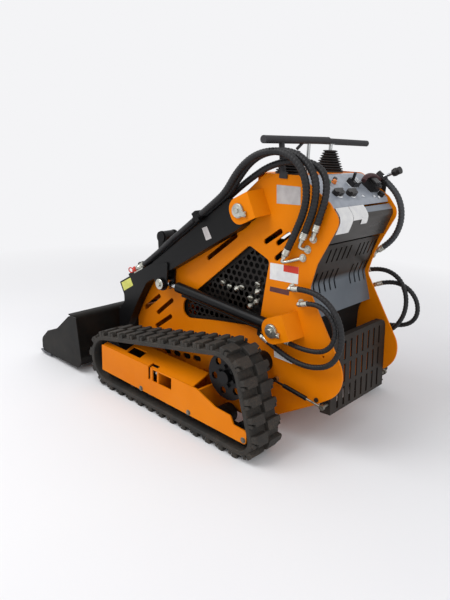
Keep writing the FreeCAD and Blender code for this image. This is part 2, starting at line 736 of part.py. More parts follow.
def arm_crossmember():
    """Box beam between the arms, open in the middle for the tilt cylinder, with two tall lugs."""
    beam = box(-ARM_IN + GAP, ARM_IN - GAP, -CROSS_HALF_L, CROSS_HALF_L, -CROSS_HALF_T, CROSS_HALF_T)
    beam = beam.cut(box(-TILT_LUG_IN, TILT_LUG_IN, -CROSS_HALF_L - 1, CROSS_HALF_L - 12,
                        -CROSS_HALF_T - 1, CROSS_HALF_T + 1))
    beam.rotate(vec(0, 0, 0), vec(1, 0, 0), CROSS_TILT)
    beam.translate(vec(0, *CROSS_MID))
    lug_outline = [
        (TILT_BASE[0] - 31.0, TILT_BASE[1] + 31.0, 30.0),
        (CROSS_MID[0] - 30.0, CROSS_MID[1] - 4.0, 6.0),
        (CROSS_MID[0] + 44.0, CROSS_MID[1] + 24.0, 6.0),
        (TILT_BASE[0] + 31.0, TILT_BASE[1] + 31.0, 30.0),
    ]
    lugs = []
    for side in (-1, 1):
        lug = side_prism(lug_outline, side * TILT_LUG_IN, side * TILT_LUG_OUT)
        lugs.append(lug)
    pin = rod_x(TILT_BASE, PIN_R - 2, -TILT_LUG_OUT - 6, TILT_LUG_OUT + 6)
    heads = [
        rod_x(TILT_BASE, PIN_HEAD_R, side * (TILT_LUG_OUT - 0.5), side * (TILT_LUG_OUT + 6))
        for side in (-1, 1)
    ]
    return fused(beam, *lugs, pin, *heads)


COUPLER_SEAT = [
    # y, z in side view of the block that carries the couplers
    (-322.0, 546.0, 0.0),
    (-322.0, 514.0, 0.0),
    (-258.0, 550.2, 0.0),
    (-258.0, 586.0, 0.0),
]
COUPLER_R = 11.0
COUPLER_LENGTH = 62.0
CAP_R = 12.5
CAP_LENGTH = 34.0


def aux_couplers():
    """Two quick couplers with their dust caps, at the ends of the hoses along the left arm."""
    (y0, z0, _), (y1, z1, _) = ARM_BODY[2:4]
    onward = vec(0, y1 - y0, z1 - z0).normalize()
    pieces = [side_prism(COUPLER_SEAT, ARM_IN + 1, ARM_OUT)]
    for name in ("hose_arm_a", "hose_arm_b"):
        route = HOSES[name][1]
        end = vec(*route[-1])
        way = (end - vec(*route[-2])).normalize()
        start = end + way * COUPLER_R * 0.8
        pieces.append(Part.makeCylinder(COUPLER_R + 1, COUPLER_R + 3, end + way * GAP, way))
        pieces.append(Part.makeCylinder(COUPLER_R, COUPLER_LENGTH, start, onward))
        pieces.append(Part.makeCylinder(CAP_R, CAP_LENGTH, start + onward * (COUPLER_LENGTH - 1), onward))
    return [fused(*pieces)]


# Bucket and its attach plate

BACK_FOOT = (-485.0, 72.0)   # foot and head of the bucket's back sheet, on its rear face
BACK_HEAD = (-522.0, 290.0)
ATTACH_HALF = ARM_IN - RUN
ATTACH_T = 10.0
TILT_EAR_IN = TILT_ROD_EYE_HALF + RUN
TILT_EAR_OUT = TILT_EAR_IN + 10.0


def back_face(z, behind=0.0):
    """Side-view point at the height z on the bucket's back, moved rearwards off it."""
    share = (z - BACK_FOOT[1]) / (BACK_HEAD[1] - BACK_FOOT[1])
    return (BACK_FOOT[0] + share * (BACK_HEAD[0] - BACK_FOOT[0]) + behind, z)


def attach_plate():
    """Plate that the bucket hangs on, with ears for the arms' toes and the tilt rod."""
    low, high = 82.0, 282.0
    plate = side_prism([
        (*back_face(low, GAP), 0.0), (*back_face(high, GAP), 0.0),
        (*back_face(high, ATTACH_T), 0.0), (*back_face(low, ATTACH_T), 0.0),
    ], -ATTACH_HALF, ATTACH_HALF)
    plate = plate.cut(box(-TILT_EAR_IN, TILT_EAR_IN, BACK_HEAD[0] - 1, -440, 176, high + 1))
    parts = [plate]
    y, z = BUCKET_PIVOT
    toe_ear = [
        (*back_face(84.0, 4.0), 0.0), (y + 26, z - 26, 25.0), (y + 26, z + 26, 25.0),
        (*back_face(176.0, 4.0), 0.0),
    ]
    y, z = TILT_EYE
    rod_ear = [
        (*back_face(190.0, 4.0), 0.0), (y + 20, z - 20, 18.0), (y + 20, z + 22, 18.0),
        (*back_face(266.0, 4.0), 0.0),
    ]
    for side in (-1, 1):
        parts.append(side_prism(toe_ear, side * ATTACH_HALF, side * (ATTACH_HALF - 10)))
        parts.append(rod_x(BUCKET_PIVOT, PIN_R, side * (ATTACH_HALF - 14), side * (ARM_OUT + 7)))
        parts.append(rod_x(BUCKET_PIVOT, PIN_R + 8, side * (ARM_OUT + 2), side * (ARM_OUT + 8)))
        parts.append(side_prism(rod_ear, side * TILT_EAR_IN, side * TILT_EAR_OUT))
        parts.append(rod_x(TILT_EYE, 16.0, side * (TILT_EAR_OUT - 1), side * (TILT_EAR_OUT + 6)))
    return fused(*parts)


BUCKET_SIDE = [
    # y, z, corner radius of a bucket cheek
    (-452.0, 72.0, 8.0),
    (-487.0, 290.0, 4.0),
    (-548.0, 288.0, 40.0),
    (-668.0, 188.0, 30.0),
    (-762.0, 150.0, 30.0),
    (-825.0, 92.0, 40.0),
    (-826.0, 36.0, 4.0),
    (-760.0, 24.0, 4.0),
    (-474.0, 26.0, 30.0),
]


def bucket_shell():
    """Bucket with its cheeks, floor, rounded heel, back and the folded top band."""
    inner = BUCKET_HALF - BUCKET_T
    cheek = side_prism(BUCKET_SIDE, inner, BUCKET_HALF)
    skin = sheet_strip([(-826.0, 22.0), (-500.0, 22.0), BACK_FOOT, BACK_HEAD, (-560.0, 294.0)],
                       -BUCKET_T, inner + 1, 24.0)
    return fused(cheek, mirrored(cheek), skin)


def cutting_edge():
    """Bevelled wear edge welded under the bucket's floor."""
    return side_prism([
        (-846.0, 21.7, 0.0), (-846.0, 18.0, 0.0), (-828.0, 9.7, 0.0), (-746.0, 9.7, 0.0),
        (-746.0, 21.7, 0.0),
    ], -BUCKET_HALF, BUCKET_HALF)


# Cylinders

GLAND = 14.0                # length of the close bore at a barrel's mouth


def stepped_bore(base, eye, rod_r, room, start, mouth):
    """Cutter for a barrel's inside: wide behind the piston rod, close round it at the mouth."""
    wide = rod_between(base, eye, rod_r + room, start, mouth - GLAND)
    close = rod_between(base, eye, rod_r + PIN_PLAY, mouth - GLAND - 1, mouth + 1)
    return fused(wide, close)


def lift_barrel():
    base = vec(ARM_X, *LIFT_BASE)
    eye = vec(ARM_X, *LIFT_EYE)
    tube = rod_between(base, eye, BARREL_R, 20.0, LIFT_BARREL_END)
    bore = stepped_bore(base, eye, ROD_R, 2.0, 60.0, LIFT_BARREL_END)
    end = rod_x(LIFT_BASE, EYE_R, ARM_X - EYE_HALF, ARM_X + EYE_HALF)
    pipe = rod_between(base + vec(0, 0, -31), eye + vec(0, 0, -31), 6.0, 60.0, LIFT_BARREL_END - 30)
    clips = [box(ARM_X - 5, ARM_X + 5, base.y - at - 12, base.y - at, LIFT_BASE[1] - 34 + at * 0.07,
                 LIFT_BASE[1] - 20 + at * 0.07) for at in (70.0, LIFT_BARREL_END - 44)]
    ports = []
    for name, top in (("hose_lower_left_a", 446.0), ("hose_lower_left_b", 440.0)):
        route = HOSES[name][1]
        ports.append(barrel_port(route[-1], route[-2], top))
    barrel = fused(tube, end, pipe, *clips, *ports)
    return barrel.cut([bore, rod_x(LIFT_BASE, PIN_R + PIN_PLAY, ARM_X - 40, ARM_X + 40)])


def lift_rod():
    base = vec(ARM_X, *LIFT_BASE)
    eye = vec(ARM_X, *LIFT_EYE)
    reach = (eye - base).Length
    bar = rod_between(base, eye, ROD_R, 110.0, reach - 10)
    end = rod_x(LIFT_EYE, EYE_R, ARM_X - EYE_HALF, ARM_X + EYE_HALF)
    return fused(bar, end)


def tilt_barrel():
    base = vec(0, *TILT_BASE)
    eye = vec(0, *TILT_EYE)
    tube = rod_between(base, eye, TILT_BARREL_R, 22.0, TILT_BARREL_END)
    bore = stepped_bore(base, eye, TILT_ROD_R, 2.0, 50.0, TILT_BARREL_END)
    end = rod_x(TILT_BASE, 29, -TILT_EYE_HALF, TILT_EYE_HALF)
    barrel = fused(tube.cut(bore), end)
    return barrel.cut(rod_x(TILT_BASE, PIN_R - 2 + PIN_PLAY, -TILT_EYE_HALF - 1, TILT_EYE_HALF + 1))


def tilt_rod():
    base = vec(0, *TILT_BASE)
    eye = vec(0, *TILT_EYE)
    reach = (eye - base).Length
    bar = rod_between(base, eye, TILT_ROD_R, 95.0, reach - 10)
    end = rod_x(TILT_EYE, TILT_ROD_EYE_R, -TILT_ROD_EYE_HALF, TILT_ROD_EYE_HALF)
    return fused(bar, end)


# Step platform and its struts

STEP_OUTLINE = [
    # y, z of the tread sheet, bottom then top
    (798.0, 160.0),
    (776.0, 463.0),
]
STEP_CORNER = 40.0
STEP_SLOT_ROWS = (14.0, 109.0, 204.0)    # distance up the tread of each row's lower end
STEP_SLOT_COUNT = 8
STEP_SLOT_PITCH = 45.0
STEP_SLOT_LENGTH = 78.0
STEP_SLOT_WIDTH = 13.0
STEP_HEAD_CUT = 20.0         # how much less the rim reaches in along the top than along the sides


def tread_plate(length, inset, front, rear):
    """Upright plate with its upper corners rounded, drawn in all round by the inset."""
    half = STEP_HALF - inset
    top = length - inset
    radius = STEP_CORNER - inset
    flank = box(-half, half, front, rear, inset, top - radius)
    middle = box(radius - half, half - radius, front, rear, inset, top)
    corners = []
    for x in (radius - half, half - radius):
        corners.append(Part.makeCylinder(radius, rear - front, vec(x, front, top - radius), vec(0, 1, 0)))
    return fused(flank, middle, *corners)


def step_platform():
    """Slotted tread, folded up behind the machine, with its rim and hinge rod."""
    (y0, z0), (y1, z1) = STEP_OUTLINE
    length = math.hypot(y1 - y0, z1 - z0)
    lean = math.degrees(math.atan2(y0 - y1, z1 - z0))
    shell = tread_plate(length, 0, -STEP_FLANGE, STEP_T)
    cutters = [
        tread_plate(length, STEP_T, -STEP_FLANGE - 1, 0),
        box(-STEP_HALF - 1, STEP_HALF + 1, -STEP_FLANGE - 1, STEP_HEAD_CUT - STEP_FLANGE,
            length - STEP_CORNER, length + 1),
    ]
    for low in STEP_SLOT_ROWS:
        for index in range(STEP_SLOT_COUNT):
            x = STEP_SLOT_PITCH * (index - (STEP_SLOT_COUNT - 1) / 2)
            cutters.append(box(x - STEP_SLOT_WIDTH / 2, x + STEP_SLOT_WIDTH / 2, -1, STEP_T + 1,
                               low, low + STEP_SLOT_LENGTH))
    step = shell.cut(cutters)
    step.rotate(vec(0, 0, 0), vec(1, 0, 0), lean)
    step.translate(vec(0, y0, z0))
    hinge = rod_x(STEP_PIVOT, STEP_PIN_R, -PLATE_OUT - 6, PLATE_OUT + 6)
    return fused(step, hinge)


def strut_barrel():
    base = vec(STRUT_X, *STRUT_BASE)
    eye = vec(STRUT_X, *STRUT_EYE)
    tube = rod_between(base, eye, STRUT_R, 52.0, 165.0)
    bore = stepped_bore(base, eye, STRUT_ROD_R, 0.6, 60.0, 165.0)
    tail = rod_between(base, eye, STRUT_ROD_R, 4.0, 53.0)
    end = rod_x(STRUT_BASE, 9, STRUT_X - 7, STRUT_X + 7)
    barrel = fused(tube.cut(bore), tail, end)
    return barrel.cut(rod_x(STRUT_BASE, STUD_R + PIN_PLAY, STRUT_X - 10, STRUT_X + 10))


def strut_rod():
    base = vec(STRUT_X, *STRUT_BASE)
    eye = vec(STRUT_X, *STRUT_EYE)
    reach = (eye - base).Length
    bar = rod_between(base, eye, STRUT_ROD_R, 105.0, reach - 9)
    end = rod_x(STRUT_EYE, 11, STRUT_X - 6, STRUT_X + 6)
    pin = rod_x(STRUT_EYE, STRUT_PIN_R, STEP_HALF + STRUT_PIN_PLAY, STRUT_X + 10)
    return fused(bar, end, pin)


# Hoses, each as (outside diameter, points of its route), and the fittings that they meet

HOSES = {
    "hose_upper_a": (28.0, [
        (246, 634, 835), (247, 647, 870), (250, 668, 925), (257, 684, 985), (262, 684, 1048),
        (264, 650, 1104), (264, 590, 1138), (264, 520, 1144), (264, 440, 1130), (264, 375, 1090),
        (264, 325, 1030), (264, 282, 970), (264, 240, 935), (264, 150, 868),
    ]),
    "hose_upper_b": (28.0, [
        (246, 560, 762), (247, 576, 796), (251, 607, 862), (260, 640, 932), (272, 656, 998),
        (284, 651, 1062), (292, 615, 1114), (293, 550, 1144), (293, 460, 1136), (293, 390, 1102),
        (293, 335, 1050), (293, 284, 974), (293, 240, 935), (293, 150, 868),
    ]),
    "hose_upper_c": (26.0, [
        (240, 683, 868), (240, 692, 905), (239, 706, 955), (236, 714, 1010), (234, 706, 1060),
        (232, 670, 1098), (236, 600, 1114), (243, 520, 1104), (245, 450, 1080), (242, 385, 1042),
        (236, 318, 998), (235, 240, 936), (235, 154, 871),
    ]),
    "hose_arm_a": (24.0, [
        (264, 110, 838), (261, 40, 786), (256, -30, 737), (248, -142, 649), (245, -250, 574),
    ]),
    "hose_arm_b": (24.0, [
        (293, 110, 838), (289, 40, 787), (283, -30, 739), (276, -142, 651), (272, -250, 574),
    ]),
    "hose_arm_c": (20.0, [
        (235, 112, 840), (231, 62, 802), (222, 0, 758), (211, -64, 714), (203, -130, 666),
        (197, -206, 613), (196, -282, 573), (196, -350, 548),
    ]),
    "hose_lower_left_a": (22.0, [
        (254, 612, 639), (254, 684, 652), (254, 773, 625), (254, 834, 560), (254, 850, 470),
        (254, 815, 386), (254, 732, 350), (254, 643, 350), (254, 556, 376), (254, 488, 404),
    ]),
    "hose_lower_left_b": (20.0, [
        (254, 659, 589), (254, 713, 607), (254, 778, 586), (254, 818, 532), (254, 812, 468),
        (254, 770, 426), (254, 705, 414), (254, 645, 414), (254, 590, 422),
    ]),
    "hose_lower_right_a": (20.0, [
        (-254, 639, 639), (-252, 706, 665), (-249, 796, 645), (-247, 845, 571), (-247, 846, 483),
        (-247, 803, 406), (-249, 725, 360), (-252, 640, 352), (-254, 556, 376), (-254, 488, 404),
    ]),
    "hose_lower_right_b": (20.0, [
        (-254, 700, 589), (-262, 753, 613), (-270, 827, 604), (-275, 878, 556), (-276, 892, 490),
        (-275, 861, 440), (-270, 793, 418), (-262, 723, 413), (-254, 650, 414), (-254, 590, 422),
    ]),
    "hose_joystick": (26.0, [
        (-243, 684, 1032), (-247, 728, 1000), (-251, 762, 948), (-252, 775, 886), (-250, 764, 825),
        (-246, 733, 773), (-243, 692, 741),
    ]),
}
BEND_SHARE = 0.45           # share of the shorter run that a bend takes at each of its ends
FITTING_R = 11.0
FITTING_REACH = 28.0        # straight end of a fitting, up to the hose's face


def hose(name, diameter, points):
    """Round hose as straight runs with tangent arcs, closed by flat ends."""
    points = [vec(*point) for point in points]
    last = points[0]
    edges = []
    tightest = None
    for before, here, ahead in zip(points, points[1:], points[2:]):
        back = before - here
        onward = ahead - here
        set_back = BEND_SHARE * min(back.Length, onward.Length)
        half = back.getAngle(onward) / 2
        radius = set_back * math.tan(half)
        tightest = radius if tightest is None else min(tightest, radius)
        back.normalize()
        onward.normalize()
        start = here + back * set_back
        end = here + onward * set_back
        inward = (back + onward).normalize()
        middle = here + inward * (radius / math.sin(half) - radius)
        edges.append(Part.LineSegment(last, start).toShape())
        edges.append(Part.Arc(start, middle, end).toShape())
        last = end
    edges.append(Part.LineSegment(last, points[-1]).toShape())
    path = Part.Wire(edges)
    way = (points[1] - points[0]).normalize()
    profile = Part.Wire([Part.makeCircle(diameter / 2, points[0], way)])
    tube = path.makePipeShell([profile], True, False)
    section = math.pi * diameter ** 2 / 4
    print("%s: length %.0f, tightest bend %.0f, volume %.3f of section times length"
          % (name, path.Length, tightest, tube.Volume / section / path.Length))
    return tube


def fitting(x_face, end, following, radius=FITTING_R):
    """Elbow out of an upright face at x_face, along X and then straight to a hose's end."""
    end = vec(*end)
    way = (vec(*following) - end).normalize()
    knee = end - way * FITTING_REACH
    across = rod_x((knee.y, knee.z), radius + 2, x_face, knee.x)
    outlet = Part.makeCylinder(radius, FITTING_REACH - GAP, knee, way)
    return fused(across, outlet, Part.makeSphere(radius + 1, knee))


def plate_fittings(names):
    """Elbows on a side plate's outer face for the hoses that start there."""
    pieces = []
    for name in names:
        diameter, points = HOSES[name]
        face = math.copysign(PLATE_OUT + GAP, points[0][0])
        pieces.append(fitting(face, points[0], points[1], min(FITTING_R, diameter / 2 + 1)))
    return pieces


def barrel_port(end, before, top):
    """Elbow up into a lift cylinder's barrel from a hose's end."""
    end = vec(*end)
    way = (end - vec(*before)).normalize()
    knee = end + way * FITTING_REACH
    arm = Part.makeCylinder(8.0, FITTING_REACH - GAP, end + way * GAP, way)
    riser = Part.makeCylinder(8.0, top - knee.z, knee, vec(0, 0, 1))
    return fused(arm, riser, Part.makeSphere(8.0, knee))


CLAMP_REACH = (12.0, 38.0)   # faces of the block along the arm, from the ends of the hoses it takes
CLAMP_TOP = 24.0            # top of the block above the hoses' ends
FERRULE_MORE = 1.0          # ferrule's radius over its hose's
FERRULE_LENGTH = 18.0
CLAMPED_ENDS = ("hose_upper_a", "hose_upper_b", "hose_upper_c")
CLAMPED_STARTS = ("hose_arm_a", "hose_arm_b", "hose_arm_c")


def ferrule(name, at_start):
    """Short sleeve that goes on from a hose's start or end, along its way."""
    diameter, points = HOSES[name]
    end, before = (points[0], points[1]) if at_start else (points[-1], points[-2])
    way = (vec(*end) - vec(*before)).normalize()
    return Part.makeCylinder(diameter / 2 + FERRULE_MORE, FERRULE_LENGTH, vec(*end) + way * GAP, way)


def arm_hose_clamp():
    """Block on the left arm's top edge that joins the frame's hoses to those along the arm."""
    (y0, z0, _), (y1, z1, _) = ARM_BODY[1:3]
    along = vec(0, y1 - y0, z1 - z0).normalize()
    up = vec(0, along.z, -along.y)
    foot = vec(0, y0, z0)
    ends = vec(0, *HOSES["hose_upper_a"][1][-1][1:])
    reach = (ends - foot).dot(along)
    height = (ends - foot).dot(up)
    corners = []
    for share, rise in ((0, GAP), (0, height + CLAMP_TOP), (1, height + CLAMP_TOP), (1, GAP)):
        point = foot + along * (reach + CLAMP_REACH[share]) + up * rise
        corners.append((point.y, point.z, 0.0))
    block = side_prism(corners, ARM_IN - 8, ARM_OUT + 30)
    ferrules = [ferrule(name, False) for name in CLAMPED_ENDS]
    ferrules += [ferrule(name, True) for name in CLAMPED_STARTS]
    return fused(block, *ferrules)


def joystick_fitting():
    """Elbow where the joystick's hose goes through the right side plate."""
    points = HOSES["hose_joystick"][1]
    return fitting(-PLATE_OUT - GAP, points[-1], points[-2])


def cross_fitting():
    """Elbow on the cross member's top face for the hose of the tilt cylinder."""
    points = HOSES["hose_arm_c"][1]
    end = vec(*points[-1])
    way = (end - vec(*points[-2])).normalize()
    knee = end + way * FITTING_REACH
    lean = math.radians(CROSS_TILT)
    up = vec(0, -math.sin(lean), math.cos(lean))
    middle = vec(0, *CROSS_MID)
    drop = (knee - middle).dot(up) - CROSS_HALF_T - GAP
    arm = Part.makeCylinder(12.0, FITTING_REACH - GAP, end + way * GAP, way)
    foot = Part.makeCylinder(12.0, drop, knee, up * -1)
    return fused(arm, foot, Part.makeSphere(12.0, knee))


# Controls on and beside the console

def on_console(shape, x, y):
    """Moves a shape made about the origin onto the console at (x, y), its Z along the panel's normal."""
    fall = (CONSOLE_FOOT[1] - CONSOLE_TOP[1]) / (CONSOLE_FOOT[0] - CONSOLE_TOP[0])
    slope = math.atan(fall)
    z = CONSOLE_TOP[1] + fall * (y - CONSOLE_TOP[0]) + (SHEET + GAP) / math.cos(slope)
    shape.rotate(vec(0, 0, 0), vec(1, 0, 0), math.degrees(slope))
    shape.translate(vec(x, y, z))
    return shape


def oval(half_length, radius, height):
    middle = box(-half_length, half_length, -radius, radius, 0, height)
    ends = [Part.makeCylinder(radius, height, vec(side * half_length, 0, 0)) for side in (-1, 1)]
    return fused(middle, *ends)


def console_controls():
    """Knobs, lever box, button and lamps on the sloping console."""
    lever = Part.makeCylinder(6, 48, vec(8, 0, 5), vec(0.25, -0.2, 1))
    pieces = [
        on_console(oval(14, 15, 16), 107, 678),
        on_console(oval(14, 15, 16), 23, 685),
        on_console(fused(box(-26, 26, -17, 17, 0, 22), lever), -54, 642),
        on_console(fused(box(-30, 30, -30, 30, 0, 30), box(-22, 22, -22, 22, 0, 40)), -158, 662),
        on_console(Part.makeCylinder(10, 16), -172, 704),
        on_console(Part.makeCylinder(8, 9), 61, 626),
        on_console(Part.makeCylinder(8, 9), 33, 614),
    ]
    return pieces


def joystick():
    """Joystick on its bracket at the top of the right side plate, with the housing of its cable."""
    face = -PLATE_OUT - GAP
    points = HOSES["hose_joystick"][1]
    start = vec(*points[0])
    way = (vec(*points[1]) - start).normalize()
    bracket = box(face - 6, face, 640, 700, 950, 1030)
    housing = Part.makeCylinder(16.0, 44.0, start - way * (44.0 + GAP), way)
    web = box(face - 30, face - 3, 655, 672, 1012, 1046)
    pivot = vec(face - 16, 664, 1040)
    knob_end = vec(face - 8, 752, 1080)
    lean = (knob_end - pivot).normalize()
    stick = Part.makeCylinder(6.0, (knob_end - pivot).Length - 20, pivot, lean)
    knob = Part.makeCylinder(15.0, 34.0, knob_end - lean * 34, lean)
    return fused(bracket, housing, web, stick, knob)


def save(name, *solids):
    shape = Part.makeCompound(list(solids)) if len(solids) > 1 else solids[0]
    shape.exportStep("parts/%s.step" % name)


def both(name, *solids):
    save(name + "_left", *solids)
    save(name + "_right", *[mirrored(solid) for solid in solids])


def main():
    os.makedirs("parts", exist_ok=True)
    both("side_plate", side_plate())
    both("pivot_ears", pivot_ear(BOOM_PIVOT, UPPER_EAR_TILT), pivot_ear(LIFT_BASE, LOWER_EAR_TILT))
    both("pivot_pins", *pivot_pins())
    save("chassis_frame", chassis_frame())
    both("axle_beams", *axle_beams())
    save("engine_block", engine_block())
    both("track", track())
    both("track_frame", track_frame())
    both("idlers", *idlers())
    both("sprocket", sprocket())
    save("console", console())
    save("rear_hood", rear_hood())
    save("rear_louvres", rear_louvres())
    save("top_cover", top_cover())
    save("engine_mesh", *engine_mesh())
    save("drive_handles", *drive_handles())
    save("lever_boots", *lever_boots())
    save("console_controls", *console_controls(), joystick())
    both("lift_arm", lift_arm())
    save("arm_crossmember", arm_crossmember())
    save("aux_couplers", *aux_couplers())
    save("arm_hose_clamp", arm_hose_clamp(), cross_fitting())
    save("hose_fittings_left", *plate_fittings([
        "hose_upper_a", "hose_upper_b", "hose_upper_c", "hose_lower_left_a", "hose_lower_left_b",
    ]))
    right = plate_fittings(["hose_lower_right_a", "hose_lower_right_b"])
    save("hose_fittings_right", *right, joystick_fitting())
    for name, (diameter, points) in HOSES.items():
        save(name, hose(name, diameter, points))
    save("attach_plate", attach_plate())
    save("bucket_shell", bucket_shell())
    save("cutting_edge", cutting_edge())
    both("lift_barrel", lift_barrel())
    both("lift_rod", lift_rod())
    save("tilt_barrel", tilt_barrel())
    save("tilt_rod", tilt_rod())
    save("step_platform", step_platform())
    both("strut_barrel", strut_barrel())
    both("strut_rod", strut_rod())


main()
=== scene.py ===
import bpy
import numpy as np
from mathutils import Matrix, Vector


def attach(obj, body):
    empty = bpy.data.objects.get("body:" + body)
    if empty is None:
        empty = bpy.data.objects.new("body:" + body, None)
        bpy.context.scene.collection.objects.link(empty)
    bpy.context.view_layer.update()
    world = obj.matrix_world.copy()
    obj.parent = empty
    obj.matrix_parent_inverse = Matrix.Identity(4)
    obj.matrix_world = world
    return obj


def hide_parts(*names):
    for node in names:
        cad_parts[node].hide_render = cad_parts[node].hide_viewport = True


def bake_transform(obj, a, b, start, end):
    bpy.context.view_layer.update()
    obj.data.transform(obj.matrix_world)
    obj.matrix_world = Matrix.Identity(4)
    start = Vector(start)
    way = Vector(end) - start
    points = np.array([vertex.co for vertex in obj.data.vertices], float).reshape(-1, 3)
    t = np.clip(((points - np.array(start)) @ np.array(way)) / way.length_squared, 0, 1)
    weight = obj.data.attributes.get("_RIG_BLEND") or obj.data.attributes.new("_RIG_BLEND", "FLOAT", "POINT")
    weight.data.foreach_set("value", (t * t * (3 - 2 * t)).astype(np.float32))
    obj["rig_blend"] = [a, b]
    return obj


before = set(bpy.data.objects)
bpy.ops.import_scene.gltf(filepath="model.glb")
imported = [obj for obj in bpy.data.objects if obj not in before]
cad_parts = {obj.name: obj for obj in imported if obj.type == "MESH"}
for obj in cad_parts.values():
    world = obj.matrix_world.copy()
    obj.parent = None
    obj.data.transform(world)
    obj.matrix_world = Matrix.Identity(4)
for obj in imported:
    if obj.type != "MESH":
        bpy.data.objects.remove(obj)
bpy.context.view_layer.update()        # the imported nodes, in world space

import bpy, bmesh
import math
from mathutils import Matrix, Vector

scene = bpy.context.scene
upX, upY, upZ = Vector((1, 0, 0)), Vector((0, 1, 0)), Vector((0, 0, 1))


def mm(*values):
    return Vector(values) * 0.001


def srgb(red, green, blue):
    # a colour as a picture gives it, 0 to 255, turned to the linear values that the shaders take
    linear = []
    for part in (red, green, blue):
        part /= 255
        linear.append(part / 12.92 if part <= 0.04045 else ((part + 0.055) / 1.055) ** 2.4)
    return (*linear, 1.0)


# camera
cameraSetup = {
    "place": mm(1941.0, 1805.9, 1211.0), "azimuth": 132.36, "pitch": 17.0, "roll": 2.33,
    "lens": 33.57, "sensor": 36.0, "farthest": 50.0,
}


def placeCamera():
    turn, pitch, roll = (math.radians(cameraSetup[key]) for key in ("azimuth", "pitch", "roll"))
    back = Vector((math.sin(turn) * math.cos(pitch), -math.cos(turn) * math.cos(pitch), math.sin(pitch)))
    right = (-back).cross(upZ).normalized()
    up = right.cross(-back)
    level = Matrix((right, up, back)).transposed()
    view = bpy.data.cameras.new("photoView")
    view.lens = cameraSetup["lens"]
    view.sensor_width = cameraSetup["sensor"]
    view.clip_end = cameraSetup["farthest"]
    holder = bpy.data.objects.new("photoView", view)
    scene.collection.objects.link(holder)
    turned = level @ Matrix.Rotation(roll, 3, "Z")
    holder.matrix_world = Matrix.Translation(cameraSetup["place"]) @ turned.to_4x4()
    scene.camera = holder


placeCamera()


# node trees: Value wraps a socket, so that shader maths reads as plain sums
class Value:
    def __init__(self, graph, socket):
        self.graph = graph
        self.socket = socket

    def sum(self, operation, first, second):
        return self.graph.node("ShaderNodeMath", {"operation": operation}, {0: first, 1: second})

    def __add__(self, other):
        return self.sum("ADD", self, other)

    __radd__ = __add__

    def __sub__(self, other):
        return self.sum("SUBTRACT", self, other)

    def __rsub__(self, other):
        return self.sum("SUBTRACT", other, self)

    def __mul__(self, other):
        return self.sum("MULTIPLY", self, other)

    __rmul__ = __mul__

    def __gt__(self, other):
        return self.sum("GREATER_THAN", self, other)

    def __lt__(self, other):
        return self.sum("LESS_THAN", self, other)

    def clamped(self, low, high):
        return self.graph.node("ShaderNodeMapRange", {"clamp": True}, {0: self, 1: low, 2: high})


class Graph:
    def __init__(self, tree):
        self.tree = tree

    def node(self, kind, settings=None, sockets=None, output=0):
        made = self.tree.nodes.new(kind)
        for key, setting in (settings or {}).items():
            if key == "stops":
                ramp = made.color_ramp
                while len(ramp.elements) < len(setting):
                    ramp.elements.new(0.5)
                for element, (place, colour) in zip(ramp.elements, setting):
                    element.position = place
                    element.color = colour
            else:
                setattr(made, key, setting)
        for key, given in (sockets or {}).items():
            if isinstance(given, Value):
                self.tree.links.new(given.socket, made.inputs[key])
            else:
                made.inputs[key].default_value = given
        return Value(self, made.outputs[output]) if len(made.outputs) else None


class Finish(Graph):
    def __init__(self, name):
        self.material = bpy.data.materials.new(name)
        self.material.use_nodes = True
        super().__init__(self.material.node_tree)
        self.tree.nodes.clear()
        self.place = self.node("ShaderNodeTexCoord", output="Object")

    def noise(self, scale, detail=3.0, roughness=0.55, place=None):
        sockets = {"Vector": place or self.place, "Scale": scale, "Detail": detail, "Roughness": roughness}
        return self.node("ShaderNodeTexNoise", {}, sockets)

    def axis(self, name, place=None):
        return self.node("ShaderNodeSeparateXYZ", {}, {0: place or self.place}, output=name)

    def stretched(self, x, y, z):
        return self.node("ShaderNodeMapping", {}, {"Vector": self.place, "Scale": (x, y, z)})

    def mix(self, factor, first, second):
        return self.node("ShaderNodeMix", {"data_type": "RGBA"}, {0: factor, 6: first, 7: second}, output=2)

    def bump(self, height, strength, distance):
        return self.node("ShaderNodeBump", {}, {"Height": height, "Strength": strength, "Distance": distance})

    def close(self, sockets):
        shader = self.node("ShaderNodeBsdfPrincipled", {}, sockets)
        self.node("ShaderNodeOutputMaterial", {}, {"Surface": shader})
        return self.material


# finishes
paints = {
    # colour, darker variation, roughness, clear coat, dust near the ground, shine
    "bodyYellow": (srgb(228, 128, 2), srgb(216, 116, 1), 0.40, 0.02, 0.04, 0.09),
    "armBlack": (srgb(15, 15, 16), srgb(10, 10, 11), 0.36, 0.03, 0.01, 0.16),
    "sheetDark": (srgb(38, 34, 31), srgb(28, 25, 23), 0.42, 0.03, 0.03, 0.15),
    "bucketBlack": (srgb(25, 24, 22), srgb(17, 16, 15), 0.46, 0.02, 0.03, 0.15),
    "stepBlack": (srgb(46, 40, 35), srgb(34, 30, 27), 0.52, 0.0, 0.03, 0.15),
}
dustColour = srgb(176, 152, 128)


